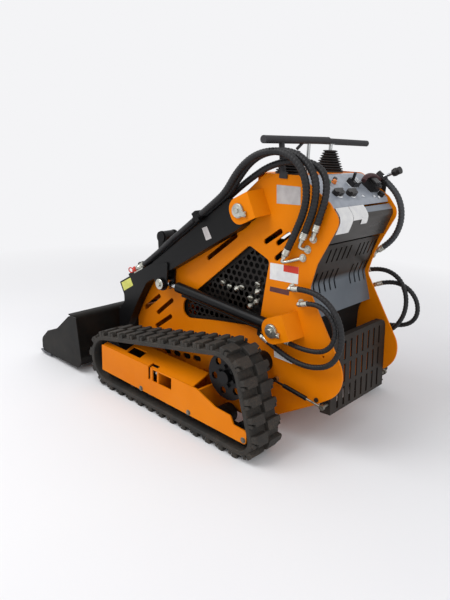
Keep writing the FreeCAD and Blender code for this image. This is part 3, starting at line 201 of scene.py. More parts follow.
def paint(name):
    colour, darker, roughness, coat, dusty, shine = paints[name]
    finish = Finish(name)
    patches = finish.noise(3.1, 4.0).clamped(0.35, 0.7)
    flecks = finish.noise(260.0, 2.0).clamped(0.70, 0.78) * finish.noise(9.0, 2.0).clamped(0.5, 0.7)
    low = 1 - finish.axis("Z").clamped(0.02, 0.55)
    dust = (finish.noise(14.0, 6.0, 0.65).clamped(0.42, 0.78) * low * dusty + flecks * (0.35 * dusty))
    streaks = finish.noise(1.0, 3.0, 0.6, finish.stretched(60.0, 60.0, 5.0)).clamped(0.60, 0.85)
    base = finish.mix(patches, colour, darker)
    base = finish.mix(dust, base, dustColour)
    rough = roughness + patches * 0.06 + dust * 0.5 + streaks * 0.06
    peel = finish.noise(420.0, 1.0) * 0.35 + finish.noise(60.0, 2.0) * 0.65
    return finish.close({
        "Base Color": base, "Roughness": rough, "Coat Weight": coat * (1 - dust),
        "Coat Roughness": 0.12, "Specular IOR Level": shine, "Normal": finish.bump(peel, 0.10, 0.0012),
    })


def hoodWithPaintedReflection():
    # satin dark sheet; the lighter band on its upper part, under the console, is a painted reflection of the sky
    finish = Finish("hoodTwoTone")
    # painted reflection: above this height the sheet takes the lighter colour
    high = finish.axis("Z").clamped(0.9255, 0.9275)
    patches = finish.noise(4.0, 3.0).clamped(0.3, 0.7)
    dark = finish.mix(patches, srgb(46, 41, 37), srgb(38, 34, 30))
    # colour of the painted sky reflection on the upper band
    light = finish.mix(patches, srgb(124, 131, 140), srgb(112, 119, 128))
    wipe = finish.noise(1.0, 4.0, 0.6, finish.stretched(6.0, 40.0, 40.0)).clamped(0.4, 0.8)
    return finish.close({
        "Base Color": finish.mix(high, dark, light), "Roughness": 0.27 + wipe * 0.14, "Coat Weight": 0.08,
        "Specular IOR Level": 0.25, "Coat Roughness": 0.1,
        "Normal": finish.bump(finish.noise(300.0, 2.0), 0.06, 0.001),
    })


def louvrePaint():
    # dark at the louvres, silver grey on the sheet below the fold
    finish = Finish("louvreSheet")
    grey = 1 - finish.axis("Z").clamped(0.640, 0.668)
    patches = finish.noise(5.0, 4.0).clamped(0.3, 0.75)
    dark = finish.mix(patches, srgb(36, 29, 23), srgb(27, 22, 18))
    light = finish.mix(patches, srgb(100, 107, 114), srgb(88, 94, 101))
    return finish.close({
        "Base Color": finish.mix(grey, dark, light), "Roughness": 0.30 + patches * 0.12, "Coat Weight": 0.04,
        "Specular IOR Level": 0.2, "Coat Roughness": 0.12,
        "Normal": finish.bump(finish.noise(300.0, 2.0), 0.06, 0.001),
    })


def metal(name, colour, darker, roughness, grain=0.05, worn=0.0):
    finish = Finish(name)
    cloud = finish.noise(40.0, 4.0, 0.6).clamped(0.35, 0.7)
    scratches = finish.noise(1.0, 2.0, 0.7, finish.stretched(900.0, 60.0, 90.0)).clamped(0.45, 0.75)
    rust = finish.noise(70.0, 5.0, 0.7).clamped(0.62, 0.74) * worn
    base = finish.mix(cloud, colour, darker)
    base = finish.mix(rust, base, srgb(104, 74, 52))
    return finish.close({
        "Base Color": base, "Metallic": 1 - rust, "Roughness": roughness + cloud * 0.12 + scratches * 0.06,
        "Normal": finish.bump(scratches, grain, 0.0006),
    })


def rubber(name, colour, dusty, roughness=0.72, grain=0.25, size=180.0):
    finish = Finish(name)
    cloud = finish.noise(7.0, 5.0, 0.65).clamped(0.40, 0.72)
    fine = finish.noise(size, 4.0, 0.6)
    dust = cloud * fine.clamped(0.35, 0.65) * dusty
    base = finish.mix(dust, colour, dustColour)
    return finish.close({
        "Base Color": base, "Roughness": roughness + dust * 0.25, "Specular IOR Level": 0.25,
        "Normal": finish.bump(fine, grain, 0.0015),
    })


def hoseRubber(name, colour, weave):
    # fine wrapped cover: the pattern follows the hose by its own map
    finish = Finish(name)
    along = finish.node("ShaderNodeTexCoord", output="UV")
    turned = {"Vector": along, "Scale": (weave, 6.0, 1.0), "Rotation": (0, 0, 0.5)}
    across = finish.node("ShaderNodeMapping", {}, turned)
    banded = {"Vector": across, "Scale": 1.0, "Distortion": 0.4}
    wrap = finish.node("ShaderNodeTexWave", {"wave_type": "BANDS"}, banded)
    cloud = finish.noise(24.0, 4.0).clamped(0.4, 0.75)
    base = finish.mix(cloud * 0.22, colour, srgb(62, 60, 60))
    return finish.close({
        "Base Color": base, "Roughness": 0.44 + cloud * 0.16, "Specular IOR Level": 0.32,
        "Normal": finish.bump(wrap * 0.6 + finish.noise(500.0, 2.0) * 0.4, 0.28, 0.0008),
    })


def handleFinish():
    # foam on the bars, bright steel where the thin posts rise from the boots
    finish = Finish("handleFoam")
    x, z = finish.axis("X"), finish.axis("Z")
    post = (x < 0.060) * (x > -0.175) * (z < 1.168)
    fine = finish.noise(420.0, 3.0, 0.7)
    base = finish.mix(post, srgb(38, 37, 40), srgb(176, 178, 178))
    return finish.close({
        "Base Color": base, "Metallic": post * 0.95, "Roughness": 0.70 - post * 0.40,
        "Normal": finish.bump(fine, 0.30, 0.0010),
    })


def sticker(name, colour, faded):
    finish = Finish(name)
    cloud = finish.noise(30.0, 4.0).clamped(0.35, 0.75)
    return finish.close({
        "Base Color": finish.mix(cloud, colour, faded), "Roughness": 0.42 + cloud * 0.15, "Coat Weight": 0.2,
        "Normal": finish.bump(finish.noise(90.0, 2.0), 0.05, 0.0008),
    })


finishes = {name: paint(name) for name in paints}
finishes.update({
    "hood": hoodWithPaintedReflection(),
    "louvres": louvrePaint(),
    "consoleSilver": sticker("consoleSilver", srgb(152, 158, 167), srgb(138, 144, 154)),
    "clearSilver": metal("clearSilver", srgb(222, 224, 226), srgb(204, 207, 210), 0.22, 0.02),
    "zinc": metal("zinc", srgb(206, 206, 198), srgb(168, 166, 156), 0.26, 0.05, 0.15),
    "dullZinc": metal("dullZinc", srgb(138, 134, 124), srgb(96, 92, 84), 0.42, 0.1, 0.3),
    "bayBlack": rubber("bayBlack", srgb(10, 10, 10), 0.03, 0.8, 0.05, 200.0),
    "chrome": metal("chrome", srgb(214, 214, 216), srgb(196, 197, 199), 0.10, 0.01),
    "edgeSteel": metal("edgeSteel", srgb(126, 128, 132), srgb(84, 84, 88), 0.38, 0.2, 0.8),
    "castIron": metal("castIron", srgb(62, 60, 60), srgb(34, 33, 34), 0.55, 0.3, 0.2),
    "trackRubber": rubber("trackRubber", srgb(45, 44, 42), 0.14),
    "blackRubber": rubber("blackRubber", srgb(32, 32, 34), 0.10, 0.5, 0.12, 320.0),
    "knobPlastic": rubber("knobPlastic", srgb(28, 28, 30), 0.05, 0.34, 0.05, 500.0),
    "hose": hoseRubber("hose", srgb(24, 24, 26), 260.0),
    "hoseGrey": hoseRubber("hoseGrey", srgb(56, 58, 61), 160.0),
    "handles": handleFinish(),
    "maroonGrip": rubber("maroonGrip", srgb(62, 34, 36), 0.04, 0.5, 0.10, 300.0),
    "greenLamp": sticker("greenLamp", srgb(22, 120, 92), srgb(16, 100, 78)),
    "redCap": rubber("redCap", srgb(196, 52, 38), 0.08, 0.42, 0.05, 400.0),
    "paper": sticker("paper", srgb(226, 226, 224), srgb(206, 206, 208)),
    "plateGrey": sticker("plateGrey", srgb(186, 182, 180), srgb(164, 158, 158)),
    "paperYellow": sticker("paperYellow", srgb(212, 212, 100), srgb(196, 196, 88)),
    "maroonLabel": sticker("maroonLabel", srgb(84, 26, 20), srgb(66, 18, 14)),
    "amberLens": sticker("amberLens", srgb(214, 120, 30), srgb(190, 92, 20)),
})
print("finishes made:", len(finishes))


# pieces
def addPiece(name, mesh, finish, body, replaced=(), smooth=False):
    mesh.materials.clear()
    mesh.materials.append(finishes[finish])
    if smooth:
        mesh.polygons.foreach_set("use_smooth", [True] * len(mesh.polygons))
    piece = bpy.data.objects.new(name, mesh)
    scene.collection.objects.link(piece)
    if body:
        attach(piece, body)
    if replaced:
        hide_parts(*replaced)
    return piece


def meshFrom(shape, name):
    mesh = bpy.data.meshes.new(name)
    shape.to_mesh(mesh)
    shape.free()
    return mesh


def frameOf(origin, axis, side=None):
    # matrix whose Z runs along the axis
    axis = Vector(axis).normalized()
    side = Vector(side) if side else (upX if abs(axis.x) < 0.9 else upY)
    side = (side - axis * side.dot(axis)).normalized()
    turned = Matrix((side, axis.cross(side), axis)).transposed().to_4x4()
    return Matrix.Translation(origin) @ turned


def sidePlace(x, y=0.0, z=0.0, side=1):
    # place for outlines given in the machine's y and z, raised to its left or right
    return Matrix(((0, 0, side, x / 1000), (1, 0, 0, y / 1000), (0, 1, 0, z / 1000), (0, 0, 0, 1)))


# lathe, block and extruded take millimetres
def lathe(shape, profile, place, steps):
    # turns (radius, height) pairs round the place's Z; a radius of 0 closes the end
    rings = []
    for radius, height in profile:
        turns = [2 * math.pi * step / steps for step in range(steps if radius else 1)]
        rings.append([shape.verts.new(place @ mm(radius * math.cos(turn), radius * math.sin(turn), height))
                      for turn in turns])
    for lower, upper in zip(rings, rings[1:]):
        for step in range(steps):
            after = (step + 1) % steps
            corners = list(dict.fromkeys((lower[step % len(lower)], lower[after % len(lower)],
                                          upper[after % len(upper)], upper[step % len(upper)])))
            if len(corners) > 2:
                shape.faces.new(corners)


def block(shape, low, high, place=None, soft=0.0):
    # box between two corners, with its edges rounded off
    low, high = mm(*low), mm(*high)
    size, middle = high - low, (high + low) / 2
    matrix = (place or Matrix()) @ Matrix.Translation(middle) @ Matrix.Diagonal((*size, 1.0))
    made = bmesh.ops.create_cube(shape, size=1.0, matrix=matrix)
    if soft:
        edges = {edge for corner in made["verts"] for edge in corner.link_edges}
        bmesh.ops.bevel(shape, geom=list(edges), offset=soft / 1000, segments=2, affect="EDGES")


def bridge(shape, lower, upper):
    # skin between two closed rings
    for index in range(len(lower)):
        after = (index + 1) % len(lower)
        shape.faces.new((lower[index], lower[after], upper[after], upper[index]))


def extruded(shape, outline, height, place, inset):
    # closed outline raised along the place's Z, its top drawn in a little
    count = len(outline)
    middle = Vector((sum(x for x, _ in outline) / count, sum(y for _, y in outline) / count))
    rings = []
    for level, drawn in ((0.0, 0.0), (height - inset, 0.0), (height, inset)):
        ring = []
        for x, y in outline:
            away = (Vector((x, y)) - middle).normalized() * drawn
            ring.append(shape.verts.new(place @ mm(x - away.x, y - away.y, level)))
        rings.append(ring)
    for lower, upper in zip(rings, rings[1:]):
        bridge(shape, lower, upper)
    shape.faces.new(rings[-1])
    shape.faces.new(rings[0][::-1])


def faceOut(shape):
    bmesh.ops.remove_doubles(shape, verts=shape.verts, dist=1e-6)
    bmesh.ops.recalc_face_normals(shape, faces=shape.faces)


def finished(shape, name, finish, body, replaced=(), smooth=0.0):
    # smooth is the angle in degrees past which an edge stays sharp
    faceOut(shape)
    if smooth:
        for edge in shape.edges:
            edge.smooth = len(edge.link_faces) == 2 and edge.calc_face_angle(0.0) < math.radians(smooth)
    return addPiece(name, meshFrom(shape, name), finish, body, replaced, bool(smooth))


# repeats by Geometry Nodes
def openTree(name, kinds):
    # new tree with its inputs, as Values and under the names that a modifier uses
    tree = bpy.data.node_groups.new(name, "GeometryNodeTree")
    keys = {key: tree.interface.new_socket(key, in_out="INPUT", socket_type="NodeSocket" + kind).identifier
            for key, kind in kinds.items()}
    tree.interface.new_socket("Result", in_out="OUTPUT", socket_type="NodeSocketGeometry")
    graph = Graph(tree)
    given = tree.nodes.new("NodeGroupInput")
    return graph, {socket.name: Value(graph, socket) for socket in given.outputs if socket.name}, keys


def closeTree(graph, geometry, finish):
    coated = graph.node("GeometryNodeSetMaterial", {}, {"Geometry": geometry, "Material": finish})
    graph.node("NodeGroupOutput", {}, {0: coated})


def plainMesh(holder):
    # the mesh of an object as its modifiers or its curve leave it; the object goes
    bpy.context.view_layer.update()
    mesh = bpy.data.meshes.new_from_object(holder.evaluated_get(bpy.context.evaluated_depsgraph_get()))
    bpy.data.objects.remove(holder)
    return mesh


def treeMesh(mesh, graph, keys, settings):
    # the plain mesh that a tree makes of the given one
    carrier = bpy.data.objects.new("carrier", mesh)
    scene.collection.objects.link(carrier)
    modifier = carrier.modifiers.new("tree", "NODES")
    modifier.node_group = graph.tree
    for key, setting in settings.items():
        modifier[keys[key]] = setting
    return plainMesh(carrier)


def repeatsTree():
    # puts the pattern at every point, its Z along "facing" and its X along "along"
    graph, inputs, keys = openTree("repeats", {"Geometry": "Geometry", "Pattern": "Object", "Finish": "Material"})
    source = {"Object": inputs["Pattern"]}
    pattern = graph.node("GeometryNodeObjectInfo", {"transform_space": "ORIGINAL"}, source, "Geometry")
    facing, along = (graph.node("GeometryNodeInputNamedAttribute", {"data_type": "FLOAT_VECTOR"}, {"Name": name})
                     for name in ("facing", "along"))
    axes = {"primary_axis": "Z", "secondary_axis": "X"}
    turned = graph.node("FunctionNodeAxesToRotation", axes, {0: facing, 1: along})
    points = graph.node("GeometryNodeMeshToPoints", {}, {"Mesh": inputs["Geometry"]})
    placing = {"Points": points, "Instance": pattern, "Rotation": turned}
    placed = graph.node("GeometryNodeInstanceOnPoints", {}, placing)
    closeTree(graph, graph.node("GeometryNodeRealizeInstances", {}, {0: placed}), inputs["Finish"])
    return graph, keys


repeats, repeatKeys = repeatsTree()


def repeat(name, pattern, points, finish, body, replaced=()):
    # points are (place, facing, along); the result is one plain mesh
    mesh = bpy.data.meshes.new(name + "Points")
    mesh.from_pydata([place for place, _, _ in points], [], [])
    for key, column in (("facing", 1), ("along", 2)):
        stored = mesh.attributes.new(key, "FLOAT_VECTOR", "POINT")
        stored.data.foreach_set("vector", [part for point in points for part in point[column]])
    master = bpy.data.objects.new(name + "Pattern", pattern)
    scene.collection.objects.link(master)
    plain = treeMesh(mesh, repeats, repeatKeys, {"Pattern": master, "Finish": finishes[finish]})
    bpy.data.objects.remove(master)
    for stored in [layer for layer in plain.attributes if layer.name in ("facing", "along")]:
        plain.attributes.remove(stored)
    return addPiece(name, plain, finish, body, replaced)


# hoses
hoses = {
    # diameter, length, body or the two bodies it joins, route
    "hose_upper_a": (28, 897, ("chassis", "boom"), [
        (246, 634, 835), (247, 647, 870), (250, 668, 925), (257, 684, 985), (262, 684, 1048), (264, 650, 1104),
        (264, 590, 1138), (264, 520, 1144), (264, 440, 1130), (264, 375, 1090), (264, 325, 1030), (264, 282, 970),
        (264, 240, 935), (264, 150, 868)]),
    "hose_upper_b": (28, 958, ("chassis", "boom"), [
        (246, 560, 762), (247, 576, 796), (251, 607, 862), (260, 640, 932), (272, 656, 998), (284, 651, 1062),
        (292, 615, 1114), (293, 550, 1144), (293, 460, 1136), (293, 390, 1102), (293, 335, 1050), (293, 284, 974),
        (293, 240, 935), (293, 150, 868)]),
    "hose_upper_c": (26, 834, ("chassis", "boom"), [
        (240, 683, 868), (240, 692, 905), (239, 706, 955), (236, 714, 1010), (234, 706, 1060), (232, 670, 1098),
        (236, 600, 1114), (243, 520, 1104), (245, 450, 1080), (242, 385, 1042), (236, 318, 998), (235, 240, 936),
        (235, 154, 871)]),
    "hose_arm_a": (24, 447, ("boom",), [
        (264, 110, 838), (261, 40, 786), (256, -30, 737), (248, -142, 649), (245, -250, 574)]),
    "hose_arm_b": (24, 447, ("boom",), [
        (293, 110, 838), (289, 40, 787), (283, -30, 739), (276, -142, 651), (272, -250, 574)]),
    "hose_arm_c": (20, 551, ("boom",), [
        (235, 112, 840), (231, 62, 802), (222, 0, 758), (211, -64, 714), (203, -130, 666), (197, -206, 613),
        (196, -282, 573), (196, -350, 548)]),
    "hose_lower_left_a": (22, 768, ("chassis", "lift_barrel_left"), [
        (254, 612, 639), (254, 684, 652), (254, 773, 625), (254, 834, 560), (254, 850, 470), (254, 815, 386),
        (254, 732, 350), (254, 643, 350), (254, 556, 376), (254, 488, 404)]),
    "hose_lower_left_b": (20, 487, ("chassis", "lift_barrel_left"), [
        (254, 659, 589), (254, 713, 607), (254, 778, 586), (254, 818, 532), (254, 812, 468), (254, 770, 426),
        (254, 705, 414), (254, 645, 414), (254, 590, 422)]),
    "hose_lower_right_a": (20, 752, ("chassis", "lift_barrel_right"), [
        (-254, 639, 639), (-252, 706, 665), (-249, 796, 645), (-247, 845, 571), (-247, 846, 483), (-247, 803, 406),
        (-249, 725, 360), (-252, 640, 352), (-254, 556, 376), (-254, 488, 404)]),
    "hose_lower_right_b": (20, 596, ("chassis", "lift_barrel_right"), [
        (-254, 700, 589), (-262, 753, 613), (-270, 827, 604), (-275, 878, 556), (-276, 892, 490), (-275, 861, 440),
        (-270, 793, 418), (-262, 723, 413), (-254, 650, 414), (-254, 590, 422)]),
    "hose_joystick": (26, 352, ("chassis",), [
        (-243, 684, 1032), (-247, 728, 1000), (-251, 762, 948), (-252, 775, 886), (-250, 764, 825),
        (-246, 733, 773), (-243, 692, 741)]),
}
# guard wound round the hoses that leave the frame; a bare hose needs fewer points
spiral = {"pitch": 0.0135, "ridge": 0.0019, "step": 0.0022, "bareStep": 0.006, "sides": 18}


def routeLine(points):
    # the smooth line of a route: a NURBS spline with the route's points as its control points
    curve = bpy.data.curves.new("route", "CURVE")
    curve.dimensions = "3D"
    curve.resolution_u = 24
    spline = curve.splines.new("NURBS")
    spline.points.add(len(points) - 1)
    for point, place in zip(spline.points, points):
        point.co = (*mm(*place), 1.0)
    spline.order_u = 3
    spline.use_endpoint_u = True
    holder = bpy.data.objects.new("route", curve)
    scene.collection.objects.link(holder)
    return [corner.co.copy() for corner in plainMesh(holder).vertices]


def evenly(line, step):
    # the same line with points a fixed step apart
    total = sum((b - a).length for a, b in zip(line, line[1:]))
    count = max(2, round(total / step))
    walked, places, index = 0.0, [line[0].copy()], 0
    for number in range(1, count):
        wanted = total * number / count
        while walked + (line[index + 1] - line[index]).length < wanted:
            walked += (line[index + 1] - line[index]).length
            index += 1
        part = (wanted - walked) / (line[index + 1] - line[index]).length
        places.append(line[index].lerp(line[index + 1], part))
    places.append(line[-1].copy())
    return places


def tube(name, line, radius, around, height=None):
    # skin round a line; height gives extra radius from the turn and the way along
    shape = bmesh.new()
    uvs = shape.loops.layers.uv.new("UVMap")
    side = None
    rings = []
    walked = 0.0
    lengths = []
    for index, place in enumerate(line):
        way = (line[min(index + 1, len(line) - 1)] - line[max(index - 1, 0)]).normalized()
        side = side or (upX if abs(way.x) < 0.9 else upY)
        side = (side - way * side.dot(way)).normalized()
        over = way.cross(side)
        walked += (place - line[index - 1]).length if index else 0.0
        lengths.append(walked)
        ring = []
        for step in range(around):
            turn = 2 * math.pi * step / around
            reach = radius + (height(turn, walked) if height else 0.0)
            ring.append(shape.verts.new(place + (side * math.cos(turn) + over * math.sin(turn)) * reach))
        rings.append(ring)
    for index, (lower, upper) in enumerate(zip(rings, rings[1:])):
        for step in range(around):
            after = (step + 1) % around
            face = shape.faces.new((lower[step], lower[after], upper[after], upper[step]))
            face.smooth = True
            spots = ((index, step), (index, step + 1), (index + 1, step + 1), (index + 1, step))
            for corner, (u, v) in zip(face.loops, spots):
                corner[uvs].uv = (lengths[u], v / around)
    shape.faces.new(rings[0][::-1])
    shape.faces.new(rings[-1])
    return meshFrom(shape, name)


def addTube(shape, route, radius, around):
    # thin tube along a route, in millimetres
    part = tube("tube", evenly(routeLine(route), 0.003), radius / 1000, around)
    shape.from_mesh(part)
    bpy.data.meshes.remove(part)


def spiralRidge(turn, walked):
    part = (walked / spiral["pitch"] - turn / (2 * math.pi)) % 1.0
    return spiral["ridge"] * (min(1.0, 1.6 * math.sin(math.pi * part)) - 1.0)


def layHose(name):
    diameter, length, bodies, points = hoses[name]
    line = routeLine(points)
    radius = diameter / 2000
    finish = "hoseGrey" if name == "hose_joystick" else "hose"
    guarded = bodies[0] == "chassis"
    line = evenly(line, spiral["step" if guarded else "bareStep"])
    mesh = tube(name + "_cover", line, radius, spiral["sides"], spiralRidge if guarded else None)
    body = bodies[0] if len(bodies) == 1 else None
    piece = addPiece(name + "_cover", mesh, finish, body, (name,))
    if len(bodies) == 2:
        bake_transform(piece, *bodies, start=line[0], end=line[-1])
    [tuple(place) for place in line[::3] + [line[-1]]]


for hoseName in hoses:
    layHose(hoseName)
print("hoses laid:", len(hoses))


# tracks
track = {
    "inner": 345.0, "outer": 511.0, "belt": 20.0, "lug": 22.0, "pitch": 72.0,
    # y, z and outside radius of the loop round each wheel
    "wheels": ((-241.0, 142.0, 142.0), (592.0, 92.0, 92.0), (474.0, 290.0, 140.0)),
    # one lug in millimetres, along the belt and across it from the middle
    "block": ((-20, 5), (18, 5), (20, 10), (20, 78), (14, 81), (-2, 81), (-8, 64), (-20, 60)),
    "hook": ((-20, 68), (-12, 72), (-6, 81), (-20, 81)),
    # the lugs' two columns: side of the middle and share of the pitch; how much lower a hook is, how deep both sink
    "columns": ((1, 0.27), (-1, 0.77)), "hookLower": 6.0, "sunk": 2.0, "slope": 2.2, "shrink": 0.98,
    # steps of the belt along one pitch, and the points that count as one where two pitches meet
    "steps": 8, "seam": 0.0002,
}


def trackLoop(below):
    # centre line of the loop in the side view, a layer below the lugs' tips, in metres
    wheels = [(y, z, reach - below) for y, z, reach in track["wheels"]]
    runs = []
    for (y0, z0, r0), (y1, z1, r1) in zip(wheels, wheels[1:] + wheels[:1]):
        span = math.hypot(y1 - y0, z1 - z0)
        lean = math.atan2(z1 - z0, y1 - y0) - math.pi / 2 + math.asin((r0 - r1) / span)
        runs.append((lean, (y0 + r0 * math.cos(lean), z0 + r0 * math.sin(lean)),
                     (y1 + r1 * math.cos(lean), z1 + r1 * math.sin(lean))))
    line = []
    for index, (lean, start, end) in enumerate(runs):
        count = max(2, round(math.dist(start, end) / 8))
        line += [mm(0, *Vector(start).lerp(end, part / count)) for part in range(count)]
        y, z, reach = wheels[(index + 1) % 3]
        turn = (runs[(index + 1) % 3][0] - lean) % (2 * math.pi)
        count = max(4, round(turn * reach / 5))
        for part in range(count):
            way = lean + turn * part / count
            line.append(mm(0, y + reach * math.cos(way), z + reach * math.sin(way)))
    return line


def wrapTree():
    # repeats one flat pitch in a row, then wraps the row round the path
    graph, inputs, keys = openTree("wrapRound", {
        "Geometry": "Geometry", "Path": "Object", "Count": "Int", "Pitch": "Float", "Finish": "Material"})
    step = graph.node("ShaderNodeCombineXYZ", {}, {"X": inputs["Pitch"]})
    row = graph.node("GeometryNodeMeshLine", {}, {"Count": inputs["Count"], "Offset": step})
    placed = graph.node("GeometryNodeInstanceOnPoints", {}, {"Points": row, "Instance": inputs["Geometry"]})
    flat = graph.node("GeometryNodeRealizeInstances", {}, {0: placed})
    spot = graph.node("GeometryNodeInputPosition")
    x, y, z = (graph.node("ShaderNodeSeparateXYZ", {}, {0: spot}, output=axis) for axis in ("X", "Y", "Z"))
    source = {"Object": inputs["Path"]}
    path = graph.node("GeometryNodeObjectInfo", {"transform_space": "ORIGINAL"}, source, "Geometry")
    sampled = {"Curves": path, "Length": x}
    centre, tangent = (graph.node("GeometryNodeSampleCurve", {"mode": "LENGTH"}, sampled, output)
                       for output in ("Position", "Tangent"))
    outward = graph.node("ShaderNodeVectorMath", {"operation": "CROSS_PRODUCT"}, {0: tangent, 1: (1, 0, 0)})
    raised = graph.node("ShaderNodeVectorMath", {"operation": "SCALE"}, {0: outward, "Scale": z})
    across = graph.node("ShaderNodeCombineXYZ", {}, {"X": y})
    beside = graph.node("ShaderNodeVectorMath", {"operation": "ADD"}, {0: raised, 1: across})
    where = graph.node("ShaderNodeVectorMath", {"operation": "ADD"}, {0: centre, 1: beside})
    wrapped = graph.node("GeometryNodeSetPosition", {}, {"Geometry": flat, "Position": where})
    joined = graph.node("GeometryNodeMergeByDistance", {}, {"Geometry": wrapped, "Distance": track["seam"]})
    closeTree(graph, joined, inputs["Finish"])
    return graph, keys


def beltPitch(pitch, side):
    # one pitch of the flat belt, in millimetres, with its two staggered lugs; X runs along, Z outwards
    shape = bmesh.new()
    middle = (track["inner"] + track["outer"]) / 2
    half = (track["outer"] - track["inner"]) / 2
    belt = track["belt"]
    section = [(-half, -belt + 3), (-half + 3, -belt), (-40, -belt), (-36, -belt), (36, -belt), (40, -belt),
               (half - 3, -belt), (half, -belt + 3), (half, -3), (half - 3, 0), (6, 0), (2, -2.5), (-2, -2.5),
               (-6, 0), (-half + 3, 0), (-half, -3)]
    steps = track["steps"]
    rings = [[shape.verts.new(mm(pitch * step / steps, (middle + a) * side, b)) for a, b in section]
             for step in range(steps + 1)]
    for lower, upper in zip(rings, rings[1:]):
        bridge(shape, lower, upper)
    lug = bmesh.new()
    sunk, height = track["sunk"], track["lug"] + track["sunk"]
    for column, shift in track["columns"]:
        for outline, high in ((track["block"], height), (track["hook"], height - track["hookLower"])):
            points = [(pitch * shift + a * track["shrink"], (middle + column * b) * side) for a, b in outline]
            extruded(lug, points, high, Matrix.Translation(mm(0, 0, -sunk)), track["slope"])
    faceOut(lug)
    # cut across at the belt's steps, also a little past both ends, so that the lugs bend with it
    for cut in range(-3, 14):
        bmesh.ops.bisect_plane(lug, geom=lug.verts[:] + lug.edges[:] + lug.faces[:], dist=1e-7,
                               plane_co=mm(pitch * cut / steps, 0, 0), plane_no=upX)
    lugMesh = meshFrom(lug, "lug")
    shape.from_mesh(lugMesh)
    bpy.data.meshes.remove(lugMesh)
    return meshFrom(shape, "beltPitch")


def makeTrack(side, name):
    line = trackLoop(track["lug"])
    curve = bpy.data.curves.new("trackPath", "CURVE")
    curve.dimensions = "3D"
    spline = curve.splines.new("POLY")
    spline.points.add(len(line) - 1)
    for point, place in zip(spline.points, line):
        point.co = (*place, 1.0)
    spline.use_cyclic_u = True
    path = bpy.data.objects.new("trackPath", curve)
    length = sum((a - b).length for a, b in zip(line, line[1:] + line[:1]))
    count = round(length * 1000 / track["pitch"])
    scene.collection.objects.link(path)
    settings = {"Path": path, "Count": count, "Pitch": length / count, "Finish": finishes["trackRubber"]}
    plain = treeMesh(beltPitch(length * 1000 / count, side), wrapRound, wrapKeys, settings)
    bpy.data.objects.remove(path)
    shape = bmesh.new()
    shape.from_mesh(plain)
    bpy.data.meshes.remove(plain)
    finished(shape, "trackBelt_" + name, "trackRubber", "chassis", ("track_" + name,), 35)


wrapRound, wrapKeys = wrapTree()
makeTrack(1, "left")
makeTrack(-1, "right")
print("tracks made")


# bolts and other small fasteners
def circleOf(x, y, z, radius, first, count):
    # places round a circle in the machine's y and z
    turns = [math.radians(360 / count * step + first) for step in range(count)]
    return [(x, y + radius * math.cos(turn), z + radius * math.sin(turn)) for turn in turns]


bolts = {
    # name: across flats, head height and washer radius in mm, finish, x, y, z of each on the left
    "guardBolts": (15, 4, 12, "dullZinc", [(506, 13, 90), (506, 319, 91), (506, 618, 93)]),
    "sprocketBolts": (14, 7, 11, "armBlack", circleOf(452.4, 474, 290, 38, 45, 6)),
}
boltShape = {"washer": 1.8, "bevel": 0.6, "chamfer": 0.07}


def hexagonOf(reach):
    return [(reach * math.cos(math.pi / 3 * step), reach * math.sin(math.pi / 3 * step)) for step in range(6)]


def boltPattern(across, height, reach):
    # hexagon head with its chamfer, on a flat washer
    thick, bevel = boltShape["washer"], boltShape["bevel"]
    shape = bmesh.new()
    lathe(shape, [(0, 0), (reach, 0), (reach, thick - bevel), (reach - bevel, thick), (0, thick)], Matrix(), 20)
    extruded(shape, hexagonOf(across / 2 / math.cos(math.pi / 6)), height,
             Matrix.Translation(mm(0, 0, thick)), across * boltShape["chamfer"])
    faceOut(shape)
    return meshFrom(shape, "boltHead")


def sides(rows):
    # the same rows on the machine's left and right
    for x, y, z in rows:
        yield mm(x, y, z), upX, upZ
        yield mm(-x, y, z), -upX, upZ


for boltName, (across, high, washer, boltFinish, rows) in bolts.items():
    repeat(boltName, boltPattern(across, high, washer), list(sides(rows)), boltFinish, "chassis")


pins = {
    # name: face x, y, z, washer radius, body, reach of the keeper in y and z or none
    "armPins": (299.0, 354.0, 907.0, 27.0, "chassis", (43.0, -11.0)),
    "cylinderPins": (299.0, 555.0, 462.0, 25.0, "chassis", (41.0, -11.0)),
    "eyePins": (298.3, -107.0, 510.0, 25.0, "boom", None),
}
pinShape = {
    "washer": 4.0, "bevel": 1.0, "collar": (13.5, 6.0), "head": (10.5, 11.5),
    # the keeper: half width at the pin and at its end, where the end starts and stops, thickness, its own bolt
    "keeper": (17.0, 8.0, 0.95, 1.14, 5.5), "keeperBolt": (5.775, 9.5, 0.86),
}


def addKeeper(shape, x, y, z, side, keeper):
    # pointed flat bar that stops the pin turning
    broad, narrow, shoulder, point, thick = pinShape["keeper"]
    reach, high, along = pinShape["keeperBolt"]
    away = Vector(keeper)
    beside = Vector((-away.y, away.x)).normalized()
    outline = [beside * broad, away * shoulder + beside * narrow, away * point,
               away * shoulder - beside * narrow, -beside * broad]
    extruded(shape, [tuple(corner) for corner in outline], thick, sidePlace(side * x, y, z, side), 0.6)
    bolt = frameOf(mm(side * x, y + away.x * along, z + away.y * along), (side, 0, 0), upY)
    extruded(shape, hexagonOf(reach), high, bolt, 0.6)


def pinHeads():
    # zinc washer and bolt over each pin, with its keeper
    thick, bevel = pinShape["washer"], pinShape["bevel"]
    for name, (x, y, z, rim, body, keeper) in pins.items():
        shape = bmesh.new()
        for side in (1, -1):
            place = frameOf(mm(side * x, y, z), (side, 0, 0), upY)
            profile = [(0, 0), (rim - bevel, 0), (rim, bevel), (rim, thick - bevel), (rim - bevel, thick), (0, thick)]
            lathe(shape, profile, place, 40)
            wide, high = pinShape["collar"]
            lathe(shape, [(0, thick), (wide, thick), (wide, high), (0, high)], place, 30)
            reach, high = pinShape["head"]
            extruded(shape, hexagonOf(reach), high, place, 1.0)
            if keeper:
                addKeeper(shape, x, y, z, side, keeper)
        finished(shape, name, "zinc", body, smooth=35)


